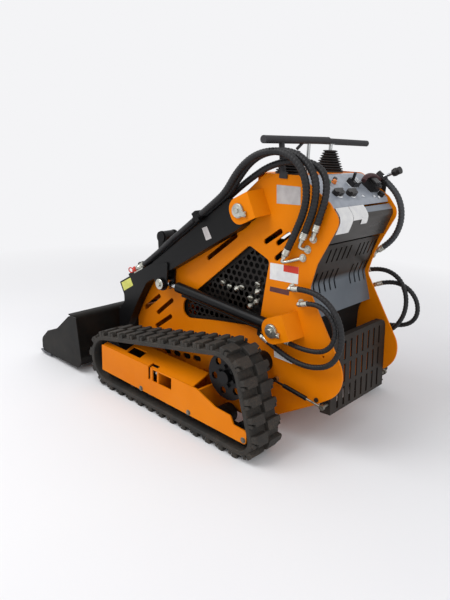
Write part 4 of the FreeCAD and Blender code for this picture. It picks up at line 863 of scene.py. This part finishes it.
# bellows at the feet of the levers
bellows = {
    "feet": ((135.0, 479.0), (-151.0, 465.0)), "deck": 1054.3,
    "base": 61.0, "top": 28.0, "height": 88.0, "rim": 7.0, "ribs": 8,
    # one fold: part of its height, and how far it lies inside the cone
    "fold": ((0.12, 10.0), (0.32, 7.0), (0.52, 1.5), (0.66, 1.0), (0.82, 2.5), (0.95, 8.0)),
}


def makeBellows():
    shape = bmesh.new()
    base, top, rim, ribs = (bellows[key] for key in ("base", "top", "rim", "ribs"))
    rise = bellows["height"] - rim
    profile = [(0.0, 0.0), (base, 0.0), (base, rim)]
    for rib in range(ribs):
        wide = base + (top - base) * rib / ribs
        profile += [(wide - inward, rim + rise * (rib + part) / ribs) for part, inward in bellows["fold"]]
    profile += [(top - 4.0, bellows["height"]), (0.0, bellows["height"])]
    for x, y in bellows["feet"]:
        lathe(shape, profile, Matrix.Translation(mm(x, y, bellows["deck"])), 44)
    finished(shape, "leverBellows", "blackRubber", "chassis", ("lever_boots",), 60)


# perforated guards behind the windows
guardMesh = {
    "edge": ((372, 778), (486, 726), (470, 600), (450, 414), (190, 376), (-40, 336), (-40, 440), (166, 618)),
    "face": 201.0, "thick": 2.0, "pitch": 31.0, "hole": 11.5, "rim": 17.0, "first": (-60.0, 330.0), "rows": 40,
    # plain border round the holes: its inner and outer level, its width, and how sharp a corner may draw it out
    "border": (-2.2, 0.4, 26.0), "sharpest": 0.45,
}


def insidePolygon(point, polygon, margin):
    # true when the point lies inside and at least the margin from every edge
    y, z = point
    inside = False
    for (y0, z0), (y1, z1) in zip(polygon, polygon[1:] + polygon[:1]):
        if (z0 > z) != (z1 > z) and y < (y1 - y0) * (z - z0) / (z1 - z0) + y0:
            inside = not inside
        run = Vector((y1 - y0, z1 - z0))
        part = max(0.0, min(1.0, Vector((y - y0, z - z0)).dot(run) / run.length_squared))
        if (Vector((y0, z0)) + run * part - Vector(point)).length < margin:
            return False
    return inside


def holedCell(pitch, hole, thick, corners=24):
    # hexagon of sheet with a round hole
    shape = bmesh.new()
    rings = []
    for level in (0.0, thick):
        outer, inner = [], []
        for step in range(corners):
            turn = 2 * math.pi * step / corners
            reach = pitch / 2 / math.cos((turn % (math.pi / 3)) - math.pi / 6)
            outer.append(shape.verts.new(mm(reach * math.cos(turn), reach * math.sin(turn), level)))
            inner.append(shape.verts.new(mm(hole * math.cos(turn), hole * math.sin(turn), level)))
        rings.append((outer, inner))
    (lowOuter, lowInner), (highOuter, highInner) = rings
    for step in range(corners):
        after = (step + 1) % corners
        shape.faces.new((highInner[step], highOuter[step], highOuter[after], highInner[after]))
        shape.faces.new((lowOuter[step], lowInner[step], lowInner[after], lowOuter[after]))
        shape.faces.new((lowInner[step], highInner[step], highInner[after], lowInner[after]))
    return meshFrom(shape, "holedCell")


def drawnIn(edge, inward):
    # the same closed outline, a fixed distance inside
    middle = Vector((sum(y for y, _ in edge) / len(edge), sum(z for _, z in edge) / len(edge)))
    corners = []
    for index, (y, z) in enumerate(edge):
        here, before, after = Vector((y, z)), Vector(edge[index - 1]), Vector(edge[(index + 1) % len(edge)])
        normals = [Vector((-way.y, way.x)) for way in ((here - before).normalized(), (after - here).normalized())]
        bisector = (normals[0] + normals[1]).normalized()
        if bisector.dot(middle - here) < 0:
            bisector = -bisector
        corners.append(here + bisector * inward / max(guardMesh["sharpest"], abs(bisector.dot(normals[0]))))
    return corners


def makeGuards():
    edge, pitch, face = guardMesh["edge"], guardMesh["pitch"], guardMesh["face"]
    firstY, firstZ = guardMesh["first"]
    points = []
    for row in range(guardMesh["rows"]):
        for column in range(guardMesh["rows"]):
            y = firstY + pitch * (column + 0.5 * (row % 2))
            z = firstZ + pitch * math.sqrt(3) / 2 * row
            if insidePolygon((y, z), edge, guardMesh["rim"]):
                points += sides([(face - guardMesh["thick"], y, z)])
    cell = holedCell(pitch, guardMesh["hole"], guardMesh["thick"])
    repeat("guardPerforation", cell, points, "sheetDark", "chassis", replaced=("engine_mesh",))
    shape = bmesh.new()
    inner, outer, width = guardMesh["border"]
    for side in (1, -1):
        rings = [[shape.verts.new(mm(side * (face + level), *corner)) for corner in drawnIn(edge, inward)]
                 for level, inward in ((inner, 0.0), (outer, 0.0), (outer, width), (inner, width))]
        for lower, upper in zip(rings, rings[1:] + rings[:1]):
            bridge(shape, lower, upper)
    finished(shape, "guardRim", "sheetDark", "chassis")


# sleeves and metal pipes at the hoses' ends
pipes = {
    # hose: bend and foot of its pipe, the foot on the side plate
    "hose_upper_a": ((243, 619, 797), (231, 646, 793)),
    "hose_upper_b": ((243, 541, 724), (231, 628, 758)),
    "hose_upper_c": ((239, 673, 829), (231, 668, 836)),
    "hose_lower_left_a": ((254, 592, 635), (231, 590, 635)),
    "hose_lower_left_b": ((254, 641, 583), (231, 638, 583)),
    "hose_lower_right_a": ((-254, 619, 631), (-231, 617, 631)),
    "hose_lower_right_b": ((-253, 681, 580), (-231, 679, 580)),
}
pipeShape = {
    "radius": 6.0, "leaves": (12.0, 20.0), "sinks": 7.0, "plate": 223.2,
    "flange": ((0, 0), (15.5, 0), (15.5, 2), (0, 2)), "nut": (13.5, 9.0),
    "cap": ((0, 8), (9.5, 8), (9.5, 13), (8, 14.5), (0, 14.5)),
}
joystickPipe = {
    "radius": 8.0, "route": ((-242, 688, 736), (-240, 680, 727), (-236, 673, 719), (-226, 672, 718)),
    "foot": (-223.2, 672, 718), "boss": ((0, 0), (15.5, 0), (15.5, 12), (12, 15), (0, 15.5)),
}
sleeve = {"length": 27.0, "more": 1.0, "grooves": 3, "groovePitch": 6.0, "grooveDepth": 0.9, "nut": (11.0, 10.0)}


def addSleeve(shape, end, onward, diameter):
    # crimped sleeve over the last of a hose, its neck and nut pointing onward
    place = frameOf(end, onward)
    wide, foot, depth = diameter / 2 + sleeve["more"], -sleeve["length"], sleeve["grooveDepth"]
    profile = [(0, foot), (wide - 1, foot), (wide, foot + 1)]
    for groove in range(sleeve["grooves"]):
        start = foot + 5 + groove * sleeve["groovePitch"]
        profile += [(wide, start), (wide - depth, start + 1), (wide - depth, start + 3), (wide, start + 4)]
    profile += [(wide, -1), (wide - 2, 1), (8.5, 3), (8.5, 6), (0, 6)]
    lathe(shape, profile, place, 24)
    reach, high = sleeve["nut"]
    extruded(shape, hexagonOf(reach), high, place @ Matrix.Translation(mm(0, 0, 5)), 0.8)


def hoseEnd(name):
    # where a hose ends and the way it points there
    points = hoses[name][3]
    end = mm(*points[-1])
    return end, (end - mm(*points[-2])).normalized()


def addPipe(shape, name, side):
    # sleeve at the hose's start, the bent pipe, and its screwed foot on the side plate
    diameter, _, _, points = hoses[name]
    bend, foot = pipes[name]
    start = mm(*points[0])
    onward = (start - mm(*points[1])).normalized()
    addSleeve(shape, start, onward, diameter)
    leaving = [tuple(start * 1000 + onward * reach) for reach in pipeShape["leaves"]]
    sunk = (foot[0] - side * pipeShape["sinks"], foot[1], foot[2])
    addTube(shape, [*leaving, bend, foot, sunk], pipeShape["radius"], 12)
    plate = frameOf(mm(side * pipeShape["plate"], *foot[1:]), (side, 0, 0))
    lathe(shape, pipeShape["flange"], plate, 24)
    reach, high = pipeShape["nut"]
    extruded(shape, hexagonOf(reach), high, plate, 1.0)
    lathe(shape, pipeShape["cap"], plate, 20)


def makePipes():
    for side, word in ((1, "left"), (-1, "right")):
        shape = bmesh.new()
        for name in pipes:
            if hoses[name][3][0][0] * side > 0:
                addPipe(shape, name, side)
        if word == "right":
            addSleeve(shape, *hoseEnd("hose_joystick"), hoses["hose_joystick"][0])
            lathe(shape, joystickPipe["boss"], frameOf(mm(*joystickPipe["foot"]), -upX), 24)
            addTube(shape, joystickPipe["route"], joystickPipe["radius"], 12)
        finished(shape, "hosePipes_" + word, "zinc", "chassis", ("hose_fittings_" + word,), 35)
        shape = bmesh.new()
        for name in ("hose_lower_%s_a" % word, "hose_lower_%s_b" % word):
            addSleeve(shape, *hoseEnd(name), hoses[name][0])
        finished(shape, "barrelSleeves_" + word, "zinc", "lift_barrel_" + word, smooth=35)


# quick couplers with their dust caps
couplers = {
    "onward": (0.0, -0.8706, -0.4920), "body": 11.0, "rings": 5, "length": 62.0, "cap": 12.5,
    "pullRadius": 2.8, "seat": ((-322, 546), (-322, 514), (-258, 550.2), (-258, 586)), "seatX": (230.6, 47.0),
}


def makeCouplers():
    steel, red = bmesh.new(), bmesh.new()
    body, cap = couplers["body"], couplers["cap"]
    profile = [(0, -4), (body, -4), (body, 10), (body - 2, 11), (body - 2, 16), (body, 17)]
    for ring in range(couplers["rings"]):
        profile += [(body + 0.8, 19 + ring * 4), (body - 0.4, 21 + ring * 4)]
    profile += [(body, 40), (body, 50), (body - 3, 52), (body - 3, 61), (0, 61)]
    capProfile = [(0, 0), (cap, 0), (cap + 1, 2), (cap + 1, 6), (cap - 1, 7), (cap - 1, 22), (cap - 3, 26), (0, 27)]
    for name in ("hose_arm_a", "hose_arm_b"):
        end, way = hoseEnd(name)
        addSleeve(steel, end, way, hoses[name][0] - 4)
        start = frameOf(end + way * 0.009, couplers["onward"])
        lathe(steel, profile, start, 28)
        capped = start @ Matrix.Translation(mm(0, 0, couplers["length"] - 2))
        lathe(red, capProfile, capped, 28)
        lathe(red, [(0, 26), (4, 26), (4, 34), (0, 34)], capped, 16)
        tip = (capped @ mm(0, 0, 30)) * 1000
        loop = [tuple(tip + Vector((0, -18 + 18 * math.cos(turn), 12 * math.sin(turn))))
                for turn in (math.pi * step / 6 for step in range(13))]
        addTube(red, loop, couplers["pullRadius"], 8)
    inner, thick = couplers["seatX"]
    extruded(steel, couplers["seat"], thick, sidePlace(inner), 1.0)
    finished(steel, "couplerBodies", "zinc", "boom", ("aux_couplers",), 35)
    finished(red, "couplerCaps", "redCap", "boom", smooth=40)


# controls on the sloping console
console = {
    # the panel's top edge in y and z, its fall and its skin; then x and y of what stands on it
    "top": (590.0, 1052.0), "fall": -0.6823, "skin": 3.3,
    "knobs": ((107.0, 678.0), (23.0, 685.0)), "leverBox": (-54, 642), "stickFoot": (-158, 662),
    "ribbedKnob": (-172, 704), "buttons": ((-118, 706), (-146, 712), (-40, 700)),
    "lamps": {"amberLamp": ("amberLens", (61, 626)), "greenLamp": ("greenLamp", (101, 626))},
    "grip": ((-84, 674, 1036), (-96, 671, 1047), (-128, 669, 1055), (-165, 668, 1054), (-200, 668, 1046),
             (-222, 669, 1034)),
    "stick": ((-239, 664, 1040), (-231.9, 741.6, 1075.3)),
}
controlProfiles = {
    # radius and height
    "knobPlate": ((0, 0), (22.5, 0), (22.5, 1.5), (21, 2.5), (0, 2.5)),
    "knobSkirt": ((0, 2), (17, 2), (15, 12), (0, 12)),
    "ribbedKnob": ((0, 0), (11.2, 0), (10.8, 17), (9, 18.5), (0, 18.5)),
    "button": ((0, 0), (7, 0), (7, 4), (4.5, 6), (0, 6.5)),
    "lamp": ((0, 0), (10.5, 0), (10.5, 4), (8.8, 6), (8.8, 10.5), (6.5, 14), (0, 15.5)),
}
controlBlocks = {
    # half length, half width, foot, top, rounding
    "knobBar": (31, 8.5, 10, 20.5, 4), "boxPlate": (29, 20, 0, 2.5, 1), "box": (26.2, 17.2, 0, 22.5, 3),
    "boxKey": (3.5, 17.6, 22.8, 24, 0.8), "stickFoot": (30.5, 30.5, 0, 30.5, 4),
    "stickNeck": (22.5, 22.5, 30, 40.5, 4),
}
stickShape = {"lobes": 5, "lobeRadius": 8.6, "lobeReach": 8.8, "ribs": 14, "ribReach": 10.8}


def onConsole(x, y):
    # place on the sloping panel, its Z along the panel's normal
    normal = Vector((0, -console["fall"], 1)).normalized()
    z = console["top"][1] + console["fall"] * (y - console["top"][0])
    return frameOf(mm(x, y, z) + normal * console["skin"] / 1000, normal, upX)


def addControl(shape, name, place, shift=0.0):
    long, wide, foot, top, rounding = controlBlocks[name]
    block(shape, (shift - long, -wide, foot), (shift + long, wide, top), place, rounding)


def addStick(black, silver):
    # thin stick with a lobed knob at its tip
    bottom, tip = (mm(*place) for place in console["stick"])
    stick = frameOf(bottom, tip - bottom)
    reach = (tip - bottom).length * 1000
    lathe(silver, [(0, -4), (8.5, -4), (8.5, 10), (6.6, 14), (6.6, reach - 26), (7.2, reach - 24), (7.2, reach - 12),
                   (0, reach - 12)], stick, 20)
    for step in range(stickShape["lobes"]):
        turn = 2 * math.pi * step / stickShape["lobes"]
        out = stickShape["lobeReach"]
        lobe = stick @ Matrix.Translation(mm(out * math.cos(turn), out * math.sin(turn), reach - 10))
        bmesh.ops.create_uvsphere(black, u_segments=14, v_segments=10, radius=stickShape["lobeRadius"] / 1000,
                                  matrix=lobe @ Matrix.Diagonal((1.0, 1.0, 1.5, 1.0)))


def addRibbedKnob(black):
    place, out = onConsole(*console["ribbedKnob"]), stickShape["ribReach"]
    for rib in range(stickShape["ribs"]):
        turn = 2 * math.pi * rib / stickShape["ribs"]
        beside = Matrix.Translation(mm(out * math.cos(turn), out * math.sin(turn), 0)) @ Matrix.Rotation(turn, 4, "Z")
        block(black, (-2, -1.8, 1), (2.2, 1.8, 17.5), place @ beside, 0.5)
    lathe(black, controlProfiles["ribbedKnob"], place, 28)


def makeControls():
    black, silver = bmesh.new(), bmesh.new()
    for x, y in console["knobs"]:
        place = onConsole(x, y) @ Matrix.Rotation(0.35, 4, "Z")
        lathe(silver, controlProfiles["knobPlate"], place, 36)
        lathe(black, controlProfiles["knobSkirt"], place, 30)
        addControl(black, "knobBar", place)
    box, foot = onConsole(*console["leverBox"]), onConsole(*console["stickFoot"])
    addControl(silver, "boxPlate", box)
    addControl(black, "box", box)
    for shift in (-17, -6, 5):
        addControl(silver, "boxKey", box, shift)
    addControl(black, "stickFoot", foot)
    addControl(black, "stickNeck", foot)
    addRibbedKnob(black)
    for x, y in console["buttons"]:
        lathe(silver, controlProfiles["button"], onConsole(x, y), 18)
    addStick(black, silver)
    finished(silver, "consoleTrim", "clearSilver", "chassis", smooth=35)
    finished(black, "consoleKnobs", "knobPlastic", "chassis", smooth=40)
    grip = tube("consoleGrip", evenly(routeLine(console["grip"]), 0.004), 0.0098, 18)
    addPiece("consoleGrip", grip, "maroonGrip", "chassis")
    for name, (finish, (x, y)) in console["lamps"].items():
        shape = bmesh.new()
        lathe(shape, controlProfiles["lamp"], onConsole(x, y), 22)
        finished(shape, name, finish, "chassis", smooth=40)


# blank sheets of paper taped over the hood
sheets = {
    # the hood's rear face in y and z, from under the console's lip down
    "profile": ((722.0, 953.0), (727.6, 945.8), (735.0, 938.0), (741.0, 930.8), (745.4, 923.0), (748.2, 913.5),
                (748.6, 904.0), (746.6, 894.0), (743.4, 884.5), (740.0, 875.0), (736.6, 866.0), (733.4, 857.5)),
    # each sheet's left and right x and its foot's z
    "places": ((188.0, 99.0, 857.0), (97.0, 34.0, 900.0), (34.0, -12.0, 880.0)),
    "proud": 3.0, "thick": 0.0005, "columns": 6, "ripple": 0.45,
}


def makeSheets():
    columns = sheets["columns"]
    for number, (left, right, foot) in enumerate(sheets["places"]):
        line = [point for point in sheets["profile"] if point[1] >= foot]
        shape = bmesh.new()
        grid = []
        for step in range(columns + 1):
            part, column = step / columns, []
            for index, (y, z) in enumerate(line):
                ripple = sheets["ripple"] * math.sin(3.1 * index + number) * math.sin(5 * part + index)
                column.append(shape.verts.new(mm(left + (right - left) * part, y + sheets["proud"] + ripple, z)))
            grid.append(column)
        for first, second in zip(grid, grid[1:]):
            for index in range(len(line) - 1):
                shape.faces.new((first[index], first[index + 1], second[index + 1], second[index]))
        bmesh.ops.solidify(shape, geom=shape.faces[:], thickness=sheets["thick"])
        finished(shape, "taped%d" % number, "paper", "chassis", smooth=60)


# zinc unions on the valve block, which show through the left window
unions = {
    "x": 203.0, "lean": 0.5,
    "places": ((212, 574), (249, 564), (293, 564), (319, 576), (405, 608), (407, 576), (368, 540), (406, 532),
               (373, 505)),
    "profile": ((0, -16), (8, -16), (8, 0), (12.5, 0), (13.2, 2), (13.2, 10), (11.5, 12), (8.5, 12), (8.5, 18),
                (0, 19)),
}


def makeUnions():
    shape = bmesh.new()
    lathe(shape, unions["profile"], Matrix(), 14)
    faceOut(shape)
    points = []
    for index, (y, z) in enumerate(unions["places"]):
        facing = Vector((1.0, unions["lean"] * math.sin(index * 2.3), -0.5)).normalized()
        points.append((mm(unions["x"], y, z), facing, upZ))
    repeat("valveUnions", meshFrom(shape, "union"), points, "zinc", "chassis")


# black sheets behind the louvres and the lower panel, painted shade for the dark bay, a cooler with its fins and
# shrouds, and black backs for the openings of the tracks' frames, painted shade where their insides are dark
bay = {
    "half": 204.0, "sheet": ((676, 806), (630, 652), (664, 528), (650, 470), (650, 330)), "thick": 2.0,
    # the cooler's half width, front and rear y, foot and top z; then its fins
    "cooler": (190.0, 560.0, 648.0, 334.0, 520.0), "fins": 30, "finThick": 3.0,
    "shrouds": (((-150, 190, 430), (150, 520, 730)), ((-150, 0, 350), (150, 520, 430))),
    # black backs as painted shade behind the inner beam's ovals and the guard's slot, on the left
    "shadeBackings": (((323.6, -60, 188), (325.6, 225, 262)), ((480, 56, 152), (496, 82, 205)),
                 ((452, 56, 196), (480, 116, 204))),
}
adjuster = {
    # the track's adjusting bolt, seen in the guard's recess: its foot, then radius and height
    "foot": (484, 80, 189), "shank": ((0, 0), (8, 0), (8, 20), (0, 20)), "head": (13.5, 11.0, 20.0),
    "tip": ((0, 31), (7, 31), (7, 40), (5.5, 42), (0, 42)),
}


def makeBay():
    shape = bmesh.new()
    half, thick = bay["half"], bay["thick"]
    # the near-black sheet is painted shade for the bay seen through the louvres and the lower panel
    outline = [(y - thick, z) for y, z in bay["sheet"]] + list(reversed(bay["sheet"]))
    left, right = ([shape.verts.new(mm(x, y, z)) for y, z in outline] for x in (half, -half))
    bridge(shape, left, right)
    last = len(outline) - 1
    for index in range(len(bay["sheet"]) - 1):
        for ring in (left, right):
            shape.faces.new((ring[index], ring[index + 1], ring[last - index - 1], ring[last - index]))
    wide, front, rear, low, high = bay["cooler"]
    for fin in range(bay["fins"]):
        x = -wide + 2 * wide * fin / (bay["fins"] - 1)
        block(shape, (x - bay["finThick"] / 2, front, low), (x + bay["finThick"] / 2, rear, high))
    for low, high in bay["shrouds"]:
        block(shape, low, high)
    # black backs as painted shade inside the frames' openings
    for side in (1, -1):
        for low, high in bay["shadeBackings"]:
            block(shape, (side * low[0], *low[1:]), (side * high[0], *high[1:]))
    finished(shape, "engineBay", "bayBlack", "chassis")
    shape = bmesh.new()
    for side in (1, -1):
        x, y, z = adjuster["foot"]
        place = frameOf(mm(side * x, y, z), upY)
        lathe(shape, adjuster["shank"], place, 20)
        reach, high, start = adjuster["head"]
        extruded(shape, hexagonOf(reach), high, place @ Matrix.Translation(mm(0, 0, start)), 1.0)
        lathe(shape, adjuster["tip"], place, 20)
    finished(shape, "adjusterBolts", "zinc", "chassis", smooth=35)


pinHeads()
makeBellows()
makeBay()
makePipes()
makeCouplers()
makeControls()
makeSheets()
makeGuards()
makeUnions()
print("fasteners, fittings, controls, bellows and guards made")


# blank labels
labels = {
    # finish, body, x of the plate, corners y, z in order
    "infoPlate": ("plateGrey", "chassis", 223.1, [(481, 1016), (592, 1018), (598, 952), (487, 946)]),
    "sideLabel": ("paper", "chassis", 223.1, [(474, 711), (612, 719), (614, 652), (477, 645)]),
    "sideLabelBand": ("redCap", "chassis", 223.8, [(541, 715), (612, 719), (613, 692), (542, 689)]),
    "barLabel": ("maroonLabel", "chassis", 223.1, [(481, 615), (576, 619), (576, 598), (480, 595)]),
    "lowerSticker": ("paper", "chassis", 223.1, [(522, 351), (622, 338), (617, 322), (526, 324)]),
    "armLabel": ("plateGrey", "boom", 278.1, [(141, 806), (170, 818), (200, 772), (168, 757)]),
    "armFrontLabel": ("paperYellow", "boom", 278.1, [(-425, 446), (-352, 487), (-330, 452), (-403, 408)]),
}
labelShape = {"corner": 4.0, "thick": 0.6, "bevel": 0.1}


def cutCorners(corners, cut):
    # each corner becomes four points on a small arc
    outline = []
    for index, corner in enumerate(corners):
        here, before, after = Vector(corner), Vector(corners[index - 1]), Vector(corners[(index + 1) % 4])
        inward = ((before + after) / 2 - here).normalized()
        for share, to in ((0.5, before), (0.15, before), (0.15, after), (0.5, after)):
            outline.append(tuple(here + (to - here).normalized() * cut * share + inward * (0.5 - share)))
    return outline


def makeLabels():
    for name, (finish, body, x, corners) in labels.items():
        shape = bmesh.new()
        outline = cutCorners(corners, labelShape["corner"])
        extruded(shape, outline, labelShape["thick"], sidePlace(x), labelShape["bevel"])
        finished(shape, name, finish, body)


makeLabels()


# materials of the CAD nodes that stay
nodeFinishes = {
    # finish: how the names of its nodes start
    "bodyYellow": ("side_plate", "chassis_frame", "axle_beams", "track_frame", "top_cover", "pivot_ears"),
    "armBlack": ("lift_arm", "arm_crossmember", "arm_hose_clamp", "lift_barrel", "tilt_barrel", "strut_barrel",
                 "sprocket"),
    "bucketBlack": ("bucket_shell", "attach_plate"), "edgeSteel": ("cutting_edge",), "stepBlack": ("step_platform",),
    "hood": ("rear_hood",), "louvres": ("rear_louvres",), "sheetDark": ("engine_mesh",),
    "consoleSilver": ("console",), "knobPlastic": ("console_controls",), "handles": ("drive_handles",),
    "blackRubber": ("lever_boots",),
    "castIron": ("engine_block", "idlers"), "chrome": ("lift_rod", "tilt_rod"), "dullZinc": ("strut_rod",),
    "zinc": ("pivot_pins", "hose_fittings", "aux_couplers"), "trackRubber": ("track",), "hose": ("hose",),
}


def finishNodes():
    # the longest start that fits a node's name gives its finish
    starts = {start: finish for finish, group in nodeFinishes.items() for start in group}
    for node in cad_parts:
        start = max((start for start in starts if node.startswith(start)), key=len)
        holder = bpy.data.objects[node]
        holder.data.materials.clear()
        holder.data.materials.append(finishes[starts[start]])


finishNodes()


# room: pale floor, even sky light and two large lamps; the camera, mirrors and glass see the pale backdrop
room = {
    "floor": srgb(239, 239, 240), "floorCloud": srgb(236, 236, 238), "back": srgb(244, 244, 246), "sky": 0.76,
    "near": 1.5, "far": 3.4, "half": 12.0, "drop": 1.0,
    # place, target, size and power
    "lamps": {
        "keyLamp": ((2.2, -1.0, 3.4), (0.0, 0.0, 0.5), 2.4, 78.0),
        "fillLamp": ((1.2, 3.4, 2.0), (0.0, 0.3, 0.5), 2.5, 20.0),
    },
}


def lookingRays(graph):
    # 1 on the rays that show the room itself: to the camera, off metal and through glass
    camera, mirrored, through = (graph.node("ShaderNodeLightPath", output="Is %s Ray" % kind)
                                 for kind in ("Camera", "Glossy", "Transmission"))
    return camera + mirrored + through


def makeWorld():
    world = bpy.data.worlds.new("paleRoom")
    scene.world = world
    world.use_nodes = True
    graph = Graph(world.node_tree)
    graph.tree.nodes.clear()
    strength = lookingRays(graph) * (1.0 - room["sky"]) + room["sky"]
    back = graph.node("ShaderNodeBackground", {}, {"Color": room["back"], "Strength": strength})
    graph.node("ShaderNodeOutputWorld", {}, {"Surface": back})


def floorFinish():
    # far from the machine the floor is seen in the backdrop's own tone
    floor = Finish("paleFloor")
    cloud = floor.noise(0.8, 2.0).clamped(0.3, 0.7)
    matt = floor.node("ShaderNodeBsdfPrincipled", {}, {
        "Base Color": floor.mix(cloud, room["floor"], room["floorCloud"]), "Roughness": 0.85 + cloud * 0.05,
        "Specular IOR Level": 0.2,
    })
    away = floor.node("ShaderNodeVectorMath", {"operation": "LENGTH"}, {0: floor.place}, "Value")
    faded = away.clamped(room["near"], room["far"]) * lookingRays(floor)
    glow = floor.node("ShaderNodeEmission", {}, {"Color": room["back"], "Strength": 1.0})
    seen = floor.node("ShaderNodeMixShader", {}, {0: faded, 1: matt, 2: glow})
    floor.node("ShaderNodeOutputMaterial", {}, {"Surface": seen})
    return floor.material


def makeRoom():
    makeWorld()
    shape = bmesh.new()
    bmesh.ops.create_grid(shape, x_segments=2, y_segments=2, size=room["half"],
                          matrix=Matrix.Translation(mm(0, 0, -room["drop"])))
    mesh = meshFrom(shape, "floor")
    mesh.materials.append(floorFinish())
    ground = bpy.data.objects.new("floor", mesh)
    scene.collection.objects.link(ground)
    for name, (place, target, size, power) in room["lamps"].items():
        light = bpy.data.lights.new(name, "AREA")
        light.size = size
        light.energy = power
        holder = bpy.data.objects.new(name, light)
        scene.collection.objects.link(holder)
        holder.matrix_world = frameOf(Vector(place), Vector(place) - Vector(target))
    scene.view_settings.view_transform = "Standard"


makeRoom()
